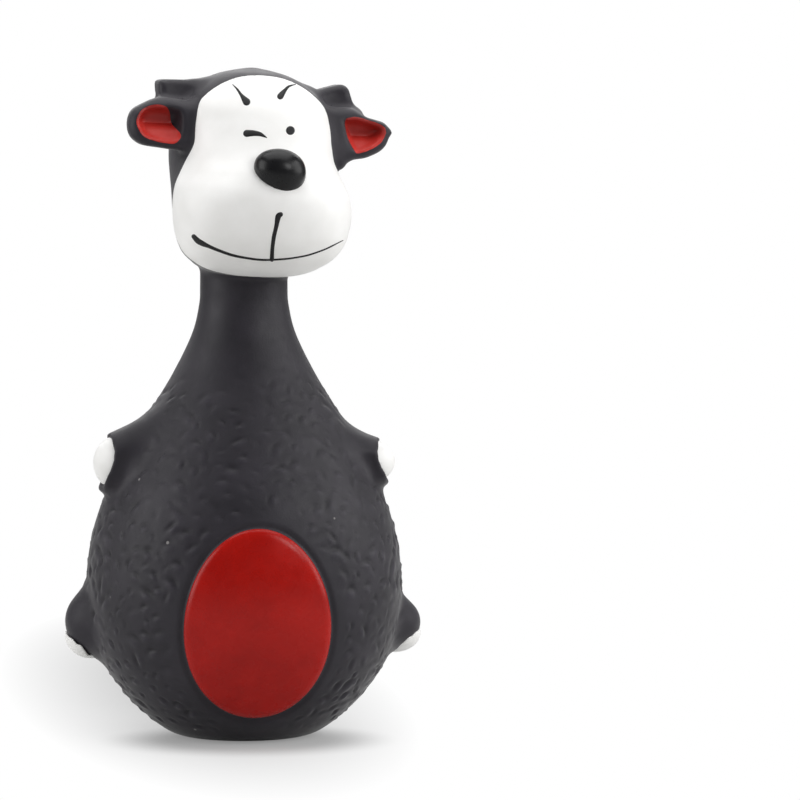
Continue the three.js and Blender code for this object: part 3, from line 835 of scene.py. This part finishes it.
def shaded_and_worn_colour(nodes, links, colour):
    """The colour, darkened by each point's painted shade and lightened where the point is worn."""
    shade_and_wear = nodes.new("ShaderNodeAttribute")
    shade_and_wear.attribute_name = "shade_and_wear"
    shaded_and_worn = mapped(nodes, links, shade_and_wear.outputs["Fac"], SHADE_AND_WEAR_RANGE).outputs["Result"]
    blend = nodes.new("ShaderNodeMix")
    blend.data_type = "RGBA"
    blend.blend_type = "MULTIPLY"
    blend.inputs["Factor"].default_value = 1
    links.new(colour, blend.inputs["A"])
    links.new(ramp(nodes, links, shaded_and_worn, SHADE_AND_WEAR_STOPS), blend.inputs["B"])
    return blend.outputs["Result"]


def specked_colour(nodes, links, colour):
    """The colour with small pale specks in some cells of a cell pattern."""
    coordinates = nodes.new("ShaderNodeTexCoord")
    cells = nodes.new("ShaderNodeTexVoronoi")
    cells.inputs["Scale"].default_value = SPECK_SCALE
    links.new(coordinates.outputs["Object"], cells.inputs["Vector"])
    spots = ramp(nodes, links, cells.outputs["Distance"], SPECK_STOPS)
    separate = nodes.new("ShaderNodeSeparateColor")
    links.new(cells.outputs["Color"], separate.inputs["Color"])
    lot = separate.outputs["Red"]
    chosen = combined(nodes, links, "ShaderNodeMath", "GREATER_THAN", lot, SPECKLESS_SHARE)["Value"]
    both = combined(nodes, links, "ShaderNodeMath", "MULTIPLY", spots, chosen)["Value"]
    mix = nodes.new("ShaderNodeMix")
    mix.data_type = "RGBA"
    mix.inputs["B"].default_value = (*SPECK_COLOUR, 1)
    links.new(both, mix.inputs["Factor"])
    links.new(colour, mix.inputs["A"])
    return mix.outputs["Result"]


def latex(name):
    """Painted latex: cloudy colour, slightly uneven gloss and fine grain."""
    dark, light, roughness, grain, specular = SURFACES[name]
    material = bpy.data.materials.new(name)
    material.use_nodes = True
    nodes, links = material.node_tree.nodes, material.node_tree.links
    shader = nodes["Principled BSDF"]
    shader.inputs["Specular IOR Level"].default_value = specular
    colour = ramp(nodes, links, noise(nodes, links, *CLOUDS), [(NOISE_LOW, dark), (NOISE_HIGH, light)])
    if name in SHADED_AND_WORN:
        colour = shaded_and_worn_colour(nodes, links, colour)
    if name == "black_latex":
        colour = specked_colour(nodes, links, colour)
        shader.inputs["Sheen Weight"].default_value = SHEEN_WEIGHT
        shader.inputs["Sheen Roughness"].default_value = SHEEN_ROUGHNESS
    links.new(colour, shader.inputs["Base Color"])
    rough = mapped(nodes, links, noise(nodes, links, *UNEVENNESS), {
        "From Min": NOISE_LOW, "From Max": NOISE_HIGH,
        "To Min": roughness - ROUGHNESS_SPREAD, "To Max": roughness + ROUGHNESS_SPREAD,
    })
    links.new(rough.outputs["Result"], shader.inputs["Roughness"])
    relief = nodes.new("ShaderNodeBump")
    relief.inputs["Distance"].default_value = GRAIN_HEIGHT
    relief.inputs["Strength"].default_value = grain
    links.new(noise(nodes, links, *GRAIN), relief.inputs["Height"])
    links.new(relief.outputs["Normal"], shader.inputs["Normal"])
    return material


MATERIALS = {name: latex(name) for name in SURFACES}


# Relief of the body: the dents all round it and the belly's groove

DENT_SPACING = 2.6
DENT_SPACINGS = (0.85, 1.25)
DENT_REACH = 3.36
DENT_DEPTH = 0.28
DENT_DEPTHS = (0.3, 1.2)
DENT_SIZES = (0.55, 1.25)
DENT_LEAN = 0.8
DENT_BREADTHS = (0.8, 1.5)
DENT_BENDS = (0.0, 0.5)
# A dent's bowed pit and the mound above it: places, widths and the mound's share of the depth
PIT_PLACE = 0.42
PIT_WIDTH = 0.52
MOUND_PLACE = 0.6
MOUND_WIDTHS = (0.7, 0.85)
MOUND_SHARE = 0.75
LEAST_ALLOWED = 0.05
# Where the dents fade in and out: off the limbs, below the neck, above the base and off the belly
LIMB_CLEAR = (0.2, 2.5)
NECK_LEVELS = (62.0, 76.0)
BASE_LEVELS = (1.2, 4.5)
BELLY_CLEAR = (2.2, 4.0)
BELLY_RIM = (1.9, 3.0)
CHEST_LEVELS = (36.0, 54.0)
CHEST_FRONT = (4, 14)
CHEST_CALM = 0.35
# The groove round the belly's oval and the cushion inside it
GROOVE_DEPTH = 0.42
GROOVE_PLACE = 0.55
GROOVE_WIDTH = 0.45
CUSHION_RISE = 0.26
CUSHION_EDGE = (-0.3, 1.5)
BELLY_FRONT = (4, 9)


def belly_field(points):
    """How far a point of the body's front lies inside the belly's oval, in millimetres."""
    x, y, z = points.T
    along = (z - BELLY_CENTRE[1]) / BELLY_HALF_LENGTH
    half_width = BELLY_HALF_WIDTH * (1 - BELLY_EGG * np.clip(along, -1, 1))
    across = x - BELLY_CENTRE[0]
    near = np.sqrt((across / half_width) ** 2 + along ** 2)
    slope = np.sqrt((across / half_width ** 2) ** 2 + (along / BELLY_HALF_LENGTH) ** 2)
    inside = (1 - near) / np.maximum(slope / np.maximum(near, TINY), TINY)
    return np.where(y < 0, inside, NOWHERE)


def dent_relief(points, normals, allowed):
    """Shallow crescent dents, scattered evenly over the allowed points."""
    random = np.random.default_rng(SEED)
    tree = KDTree(len(points))
    for index, point in enumerate(points):
        tree.insert(point, index)
    tree.balance()
    free = allowed > LEAST_ALLOWED
    relief = np.zeros(len(points))
    for centre in random.permutation(len(points)):
        if not free[centre]:
            continue
        spacing = DENT_SPACING * random.uniform(*DENT_SPACINGS)
        near = tree.find_range(points[centre], max(spacing, DENT_REACH))
        indices = np.array([index for _, index, _ in near])
        distances = np.array([distance for _, _, distance in near])
        free[indices[distances < spacing]] = False
        normal = normals[centre]
        level = np.cross([0, 0, 1], normal)
        level /= max(np.linalg.norm(level), TINY)
        steep = np.cross(normal, level)
        away = points[indices] - points[centre]
        across, upward = away @ level, away @ steep
        size = random.uniform(*DENT_SIZES)
        lean = random.normal(0, DENT_LEAN)
        broad = random.uniform(*DENT_BREADTHS)
        bend = random.uniform(*DENT_BENDS)
        beside = (across * math.cos(lean) + upward * math.sin(lean)) / (size * broad)
        above = (upward * math.cos(lean) - across * math.sin(lean)) / size
        depth = DENT_DEPTH * random.uniform(*DENT_DEPTHS) * allowed[centre]
        bow = above - PIT_PLACE + bend * beside ** 2
        pit = np.exp(-(bow / PIT_WIDTH) ** 2 - beside ** 2)
        mound = np.exp(-((above + MOUND_PLACE) / MOUND_WIDTHS[0]) ** 2 - (beside / MOUND_WIDTHS[1]) ** 2)
        relief[indices] += depth * (MOUND_SHARE * mound - pit)
    return relief


def body_relief(points, normals, parts):
    """The dents, and the swell that the belly's oval gives the skin."""
    y, z = points[:, 1], points[:, 2]
    belly = belly_field(points)
    others = [distance for name, distance in parts.items() if name != "body_skin"]
    clear_of_limbs = smooth_step(np.minimum.reduce(others), *LIMB_CLEAR)
    below_neck = 1 - smooth_step(z, *NECK_LEVELS)
    above_base = smooth_step(z, *BASE_LEVELS)
    allowed = clear_of_limbs * below_neck * above_base * smooth_step(-belly, *BELLY_CLEAR)
    dents = dent_relief(points, normals, allowed)
    chest = smooth_step(z, *CHEST_LEVELS) * smooth_step(-y, *CHEST_FRONT)
    dents *= smooth_step(-belly, *BELLY_RIM) * above_base * (1 - CHEST_CALM * chest)
    groove = -GROOVE_DEPTH * np.exp(-((belly + GROOVE_PLACE) / GROOVE_WIDTH) ** 2)
    cushion = CUSHION_RISE * smooth_step(belly, *CUSHION_EDGE)
    return dents, (groove + cushion) * smooth_step(-y, *BELLY_FRONT)


# The skin, cut along its creases into its named parts

def add_skin():
    points, quads = smooth_surface(skin_distance, SKIN_LOW, SKIN_HIGH, PITCH)
    parts = part_distances(points)
    normals = vertex_normals(points, quads)
    dents, swell = body_relief(points, normals, parts)
    points = points + normals * (dents + swell)[:, None]
    points[:, 2] = np.maximum(points[:, 2], 0)
    normals = vertex_normals(points, quads)
    # The dents also give the skin's painted shade and wear: dark in the pits, paler on the mounds
    return points, normals, quads, parts, dents / DENT_DEPTH


SKIN_CLAIM = 0.6
NECK_SEAM = 85.5


def press_with_belly(piece):
    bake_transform(piece)


def add_skin_pieces(points, normals, quads, parts, shade_and_wear):
    above = points[:, 2] - NECK_SEAM
    names = list(parts)
    trunk_names = [name for name in names if name.startswith(("body", "arm", "leg"))]
    claims = {name: distance - SKIN_CLAIM * name.endswith("skin") for name, distance in parts.items()}
    for name in names:
        trunk = name in trunk_names
        rivals = [claims[other] for other in names if other != name and (other in trunk_names) == trunk]
        field = np.minimum.reduce(rivals) - claims[name]
        field = np.minimum(field, -above if trunk else above)
        piece_points, piece_normals, faces, shaded_and_worn = clipped(points, normals, quads, field, shade_and_wear)
        body = "body" if trunk else "head"
        skin = name.endswith("skin")
        mesh = piece_points, faces, piece_normals, shaded_and_worn
        piece = add_piece(name, None if skin else body, "black_latex", *mesh)
        if name == "body_skin":
            press_with_belly(piece)
        elif name == "head_skin":
            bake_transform(piece)


# Colour coats: parts of the skin's surface, raised by the paint's thickness with a rounded edge

COAT_EDGE = 0.55
COAT_SINK = 0.03
BELLY_EDGE = 1.1
BELLY_THICKNESS = 0.24
LINING_THICKNESS = 0.12
LINING_REACH = 0.3
# The shade under the roof of an ear's hollow: heights from its crease, and how dark it is
ROOF_SHADE = (-0.4, 0.9)
ROOF_DARKNESS = 0.8
FACE_THICKNESS = 0.2
FACE_CLEARANCE = 0.7
FACE_ROUND = 1.5
FACE_CHIN = 0.3
FACE_SAMPLES = 400
# The face coat's edge: heights above the chin and reaches in front of the head's axis
FACE_EDGE = [
    (-2.0, 10.6), (0.5, 10.2), (2.0, 8.7), (6.0, 8.1), (11.0, 7.4), (15.5, 7.6), (22.0, 8.1), (27.0, 7.6),
    (32.0, 7.0), (36.7, 6.4), (39.0, 5.9), (42.0, 5.2),
]


def coat_mesh(points, normals, quads, field, thickness, edge=COAT_EDGE):
    coat_points, coat_normals, faces, depth = clipped(points, normals, quads, field)
    rise = np.clip(depth / edge, 0, 1)
    rise = np.sqrt(1 - (1 - rise) ** 2)
    raised = coat_points + coat_normals * (thickness * rise + COAT_SINK)[:, None]
    return raised, faces


def face_field(points, parts):
    _, y, height = to_head(points).T
    heights, reaches = through_rows(FACE_EDGE, FACE_SAMPLES).T
    edge = -y - np.interp(height, heights, reaches)
    beside = [distance for name, distance in parts.items() if name.startswith(("ear", "horn"))]
    clear = np.minimum.reduce(beside) - FACE_CLEARANCE
    return smooth_min(np.minimum(edge, height - FACE_CHIN), clear, FACE_ROUND)


def add_coats(points, normals, quads, parts):
    raised, faces = coat_mesh(points, normals, quads, belly_field(points), BELLY_THICKNESS, BELLY_EDGE)
    add_piece("belly_coat", "belly", "red_latex", raised, faces)
    on_head = points[:, 2] > NECK_SEAM
    local = to_head(points)
    for name in SIDES:
        red = -outline("red", name, RED_PIXELS, EAR_MIDDLE - EAR_HALF).distance(local)
        field = np.where(on_head, np.minimum(LINING_REACH - cup_distance(local, name), red), NOWHERE)
        raised, faces = coat_mesh(points, normals, quads, field, LINING_THICKNESS)
        # Painted shade: the lining's colour darkens under the roof of the hollow, above its crease
        above = to_head(raised)[:, 2] - CUP_CREASES[name]
        shade = -smooth_step(above, *ROOF_SHADE) * ROOF_DARKNESS
        add_piece("ear_lining_" + name, "head", "ear_red", raised, faces, shade_and_wear=shade)
    field = np.where(on_head, face_field(points, parts), NOWHERE)
    raised, faces = coat_mesh(points, normals, quads, field, FACE_THICKNESS)
    add_piece("face_coat", "head", "white_latex", raised, faces)
    return raised, faces


# Hooves and nose

def add_blob(node, body, slot, distance, centre, reach):
    centre = np.array(centre, float)
    points, quads = smooth_surface(distance, centre - reach, centre + reach, FINE_PITCH)
    add_piece(node, body, slot, points, quads)


def hoof_distance(centre, radii, cuff, frame_of, side):
    def distance(points):
        mirrored = frame_of(points, side)
        beyond = cuff(points, side)
        egg = ellipsoid_distance(mirrored, centre, radii)
        cleft = CLEFT_DEPTH * np.exp(-((mirrored[:, 1] - centre[1]) / CLEFT_WIDTH) ** 2)
        cleft *= smooth_step(beyond, *CLEFT_REACHES)
        return smooth_max(egg + cleft, -beyond - CUFF_DEPTH, HOOF_ROUND)
    return distance


def add_hooves():
    limbs = (
        ("arm", ARM_HOOF, ARM_HOOF_RADII, arm_cuff, on_arm),
        ("leg", LEG_HOOF, LEG_HOOF_RADII, leg_cuff, on_leg),
    )
    for limb, centre, radii, cuff, frame_of in limbs:
        for name, side in SIDES.items():
            place = np.array(centre) * [side, 1, 1]
            distance = hoof_distance(centre, radii, cuff, frame_of, side)
            add_blob(limb + "_hoof_" + name, "body", "white_latex", distance, place, HOOF_BOX)


NOSE_PIXEL = (279.6, 171.0)
NOSE_RADII = (5.12, 4.3, 4.3)
NOSE_SINK = 0.2
NOSE_TILT = math.radians(24)
NOSE_TAPER = 0.12
NOSE_BOX = 6.6


def add_nose(surface):
    hit = surface.ray_cast(Vector(EYE), Vector(pixel_ray(*NOSE_PIXEL)))[0]
    centre = np.array(hit) - BACKWARD * NOSE_SINK

    def distance(points):
        local = turned(points - centre, HEAD_TURN, 1, 0)
        local = turned(local, NOSE_TILT, 0, 2)
        narrow = 1 + NOSE_TAPER * np.clip(-local[:, 0] / NOSE_RADII[0], -1, 1)
        local[:, 2] *= narrow
        return ellipsoid_distance(local, (0, 0, 0), NOSE_RADII)

    add_blob("nose", "head", "nose_gloss", distance, centre, NOSE_BOX)


# Brush strokes: rows of column, row and half width in the photograph's pixels

STROKES = {
    "brow_left": [(232.6, 84.4, 0.5), (237, 89, 1.1), (241, 94.6, 1.7), (244, 98.6, 3), (246.4, 101.6, 4.2)],
    "brow_right": [
        (295.4, 84.4, 0.6), (289, 86.3, 1.3), (285.4, 89.8, 1.9), (282.6, 93.2, 2.9), (280.4, 96.2, 3.5),
    ],
    "eye_wink": [
        (246.9, 133.4, 3.9), (250.6, 133.2, 3.5), (255, 133.3, 3), (260.6, 134.4, 2.2), (266.6, 137.6, 0.6),
    ],
    "muzzle_line": [
        (280.4, 214.6, 2.7), (278.2, 216.8, 3.1), (276.4, 226, 2.3), (273.8, 237.5, 2.2), (272.4, 249, 2.1),
        (271.9, 259.4, 2.4),
    ],
    "mouth_line": [
        (193.8, 236.6, 2.5), (198, 241, 3.1), (203.4, 244, 2.8), (209, 246.4, 2), (218, 250.2, 1.7),
        (232.4, 255.2, 1.5), (247.7, 258.2, 1.3), (263, 259.9, 1.2), (282.2, 259.2, 1.1), (295.6, 257.6, 1),
        (309, 254.9, 1), (324.3, 249.6, 0.9), (334, 245, 0.8), (343, 240.4, 0.5),
    ],
}
EYE_PIXEL = (290.4, 130.5)
EYE_PIXELS = 4.6
EYE_RISE = 0.14
EYE_RINGS = 6
EYE_STEPS = 28
# Strokes: height of the paint, how far its edges sink in, the half width of a full stroke, and their points
STROKE_RISE = 0.16
STROKE_SINK = 0.04
FULL_STROKE = 2
STROKE_SAMPLES = 12
STROKE_WIDTH_POINTS = 9
CAP_POINTS = 6


def on_surface(surface, column, row):
    point, normal, _, _ = surface.ray_cast(Vector(EYE), Vector(pixel_ray(column, row)))
    return (np.array(point), np.array(normal)) if point is not None else None


def add_stroke(surface, name, rows):
    path = through_rows(rows, STROKE_SAMPLES * len(rows))
    ends = np.linspace(0, math.pi / 2, CAP_POINTS)[1:]
    stations = [(place, 1.0) for place in path]
    for index, step, sign in ((0, 1, -1), (len(path) - 1, -1, 1)):
        tangent = path[index, :2] - path[index + step, :2]
        tangent /= np.linalg.norm(tangent)
        caps = []
        for angle in ends:
            centre = path[index].copy()
            centre[:2] += tangent * centre[2] * math.sin(angle)
            caps.append((centre, math.cos(angle)))
        stations = caps[::-1] + stations if sign < 0 else stations + caps
    centres = np.array([place[:2] for place, _ in stations])
    tangents = np.gradient(centres, axis=0)
    tangents /= np.maximum(np.linalg.norm(tangents, axis=1), TINY)[:, None]
    shares = np.linspace(-1, 1, STROKE_WIDTH_POINTS)
    points = []
    for (place, cap), tangent in zip(stations, tangents):
        across = np.array([-tangent[1], tangent[0]]) * place[2] * cap
        hits = [on_surface(surface, *(place[:2] + across * share)) for share in shares]
        if any(hit is None for hit in hits):
            continue
        for share, (point, normal) in zip(shares, hits):
            dome = math.sqrt(max(1 - share ** 2, 0)) * cap
            rise = STROKE_RISE * min(1, place[2] / FULL_STROKE) * dome - STROKE_SINK * (1 - dome)
            points.append(point + normal * rise)
    faces = []
    width = len(shares)
    for station in range(len(points) // width - 1):
        for column in range(width - 1):
            first = station * width + column
            faces.append((first, first + 1, first + width + 1, first + width))
    add_piece(name, "head", "line_paint", points, faces)


def add_eye(surface):
    rings, steps = EYE_RINGS, EYE_STEPS
    points = []
    for ring in range(rings + 1):
        share = math.sin(math.pi / 2 * ring / rings)
        for step in range(steps):
            angle = 2 * math.pi * step / steps
            reach = EYE_PIXELS * share
            column = EYE_PIXEL[0] + reach * math.cos(angle)
            row = EYE_PIXEL[1] + reach * math.sin(angle)
            point, normal = on_surface(surface, column, row)
            dome = math.sqrt(1 - share ** 2) if share < 1 else 0
            points.append(point + normal * (EYE_RISE * dome - STROKE_SINK * (1 - dome)))
    faces = []
    for ring in range(rings):
        for step in range(steps):
            after = (step + 1) % steps
            lower, upper = ring * steps, (ring + 1) * steps
            faces.append((lower + step, lower + after, upper + after, upper + step))
    add_piece("eye_dot", "head", "line_paint", points, faces)


# Inside: the fibre wads and the squeaker

WAD_GAP = 3.4
WAD_PITCH = 1.4
WAD_TOP = 84
BARREL_RADIUS = 9
BARREL_TOP = 15
POCKET_RADIUS = 11
# Lumps of the wads: their height and turns per millimetre along each axis
BODY_LUMPS = (0.5, 0.8, 0.7, 0.6)
HEAD_LUMPS = (0.4, 0.9, 0.8, 0.7)
BODY_WAD_BOX = ((-31, -29, -1), (31, 29, 86))
HEAD_WAD_BOX = ((-20, -28, 86), (22, 18, 131))


def lumps(points, height, *turns):
    across, along, upward = np.sin(points * turns).T
    return height * across * along * upward


def body_wad(points):
    x, y, z = points.T
    shell = body_distance(points) + WAD_GAP + lumps(points, *BODY_LUMPS)
    barrel = np.maximum(np.hypot(x, y) - BARREL_RADIUS, z - BARREL_TOP)
    return np.maximum(np.maximum(shell, z - WAD_TOP), -barrel)


def head_wad(points):
    pocket = np.linalg.norm(points - [0, 0, PIVOT_HEIGHT], axis=1) - POCKET_RADIUS
    shell = skull_distance(to_head(points)) + WAD_GAP + lumps(points, *HEAD_LUMPS)
    return np.maximum(shell, -pocket)


def add_fillings():
    body_mesh = polygonised(body_wad, *BODY_WAD_BOX, WAD_PITCH)
    press_with_belly(add_piece("body_filling", None, "fibre_filling", *body_mesh))
    head_mesh = polygonised(head_wad, *HEAD_WAD_BOX, WAD_PITCH)
    add_piece("head_filling", "head", "fibre_filling", *head_mesh)


def dress_squeaker():
    for node in ("squeaker_housing", "reed_block", "reed_clamp", "reed"):
        material = MATERIALS["reed_film" if node == "reed" else "squeaker_plastic"]
        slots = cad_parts[node].material_slots
        for slot in slots:
            slot.material = material
        if not slots:
            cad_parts[node].data.materials.append(material)


# Stage and light

FLOOR_COLOUR = (0.62, 0.62, 0.61, 1)
FLOOR_SIZE = 12.0
# Painted shadow: near the toy the camera sees the floor a little darker, and white from the reach of that
# shadow on
NEAR_COLOUR = (0.33, 0.33, 0.33, 1)
SHADOW_CENTRE = (-0.002, 0.088, 0)
SHADOW_STRETCH = (1, 0.216, 1)
SHADOW_REACH = {"From Max": 0.041}
# Round the base the painted shadow is darkest
CONTACT_CENTRE = (0, -0.008, 0)
CONTACT_REACH = {"From Min": 0.014, "From Max": 0.03, "To Min": 0.45}
WORLD_LIGHT = {"To Min": 0.16, "To Max": 1.0}
# Lamps: place, target, size and power
LAMPS = {
    "key": ((0.42, -0.5, 0.4), (0, 0, 0.06), (0.26, 0.26), 1.5),
    "right": ((0.6, -0.1, 0.3), (0, 0, 0.06), (0.45, 0.5), 2.35),
    "left": ((-0.6, -0.1, 0.26), (0, 0, 0.06), (0.45, 0.5), 2.45),
    "top": ((0, 0.02, 0.55), (0, 0, 0.06), (0.6, 0.5), 2.2),
    "rim": ((0, 0.5, 0.42), (0, 0, 0.08), (0.9, 0.3), 1.7),
}


def painted_floor_shadow(nodes, links):
    """The share of white that the camera sees at each place of the floor, the rest being painted shadow."""
    place = nodes.new("ShaderNodeTexCoord").outputs["Object"]
    kind = "ShaderNodeVectorMath"
    shifted = combined(nodes, links, kind, "SUBTRACT", place, SHADOW_CENTRE)["Vector"]
    squeezed = combined(nodes, links, kind, "MULTIPLY", shifted, SHADOW_STRETCH)["Vector"]
    reach = combined(nodes, links, kind, "DISTANCE", squeezed, (0, 0, 0))["Value"]
    fade = mapped(nodes, links, reach, SHADOW_REACH)
    foot = combined(nodes, links, kind, "DISTANCE", place, CONTACT_CENTRE)["Value"]
    contact = mapped(nodes, links, foot, CONTACT_REACH)
    contact.interpolation_type = "SMOOTHSTEP"
    shares = fade.outputs["Result"], contact.outputs["Result"]
    return combined(nodes, links, "ShaderNodeMath", "MULTIPLY", *shares)["Value"]


def shader_mix(nodes, links, share, first, second):
    mix = nodes.new("ShaderNodeMixShader")
    for slot, source in enumerate((share, first, second)):
        links.new(source, mix.inputs[slot])
    return mix.outputs["Shader"]


def add_floor():
    corners = [(x * FLOOR_SIZE, y * FLOOR_SIZE, 0) for x, y in ((-1, -1), (1, -1), (1, 1), (-1, 1))]
    mesh = bpy.data.meshes.new("floor")
    mesh.from_pydata(corners, [], [(0, 1, 2, 3)])
    material = bpy.data.materials.new("floor")
    material.use_nodes = True
    nodes, links = material.node_tree.nodes, material.node_tree.links
    nodes.clear()
    plain = nodes.new("ShaderNodeBsdfDiffuse")
    plain.inputs["Color"].default_value = FLOOR_COLOUR
    near = nodes.new("ShaderNodeBsdfDiffuse")
    near.inputs["Color"].default_value = NEAR_COLOUR
    white = nodes.new("ShaderNodeEmission").outputs["Emission"]
    view = shader_mix(nodes, links, painted_floor_shadow(nodes, links), near.outputs["BSDF"], white)
    seen = nodes.new("ShaderNodeLightPath").outputs["Is Camera Ray"]
    surface = shader_mix(nodes, links, seen, plain.outputs["BSDF"], view)
    links.new(surface, nodes.new("ShaderNodeOutputMaterial").inputs["Surface"])
    mesh.materials.append(material)
    floor = bpy.data.objects.new("floor", mesh)
    bpy.context.collection.objects.link(floor)


def add_world():
    """White to the camera and a plain soft light to everything else."""
    world = bpy.data.worlds.new("studio")
    bpy.context.scene.world = world
    world.use_nodes = True
    nodes, links = world.node_tree.nodes, world.node_tree.links
    background = nodes["Background"]
    background.inputs["Color"].default_value = (1, 1, 1, 1)
    path = nodes.new("ShaderNodeLightPath").outputs
    rays = path["Is Camera Ray"], path["Is Transmission Ray"]
    seen = combined(nodes, links, "ShaderNodeMath", "MAXIMUM", *rays)["Value"]
    strength = mapped(nodes, links, seen, WORLD_LIGHT)
    links.new(strength.outputs["Result"], background.inputs["Strength"])


def add_lamp(name, place, target, size, power):
    lamp = bpy.data.objects.new(name, bpy.data.lights.new(name, "AREA"))
    bpy.context.collection.objects.link(lamp)
    lamp.data.shape = "RECTANGLE"
    lamp.data.size, lamp.data.size_y = size
    lamp.data.energy = power
    lamp.location = place
    aim = Vector(target) - Vector(place)
    lamp.rotation_euler = aim.to_track_quat("-Z", "Y").to_euler()


add_camera()
skin_points, skin_normals, skin_quads, skin_parts, skin_shade_and_wear = add_skin()
add_skin_pieces(skin_points, skin_normals, skin_quads, skin_parts, skin_shade_and_wear)
face_points, face_faces = add_coats(skin_points, skin_normals, skin_quads, skin_parts)
face_surface = BVHTree.FromPolygons([tuple(point) for point in face_points], face_faces)
add_nose(face_surface)
for stroke_name, stroke_rows in STROKES.items():
    add_stroke(face_surface, stroke_name, stroke_rows)
add_eye(face_surface)
add_hooves()
add_fillings()
dress_squeaker()
add_floor()
add_world()
for lamp_name, lamp_values in LAMPS.items():
    add_lamp(lamp_name, *lamp_values)
bpy.context.scene.view_settings.view_transform = "Standard"
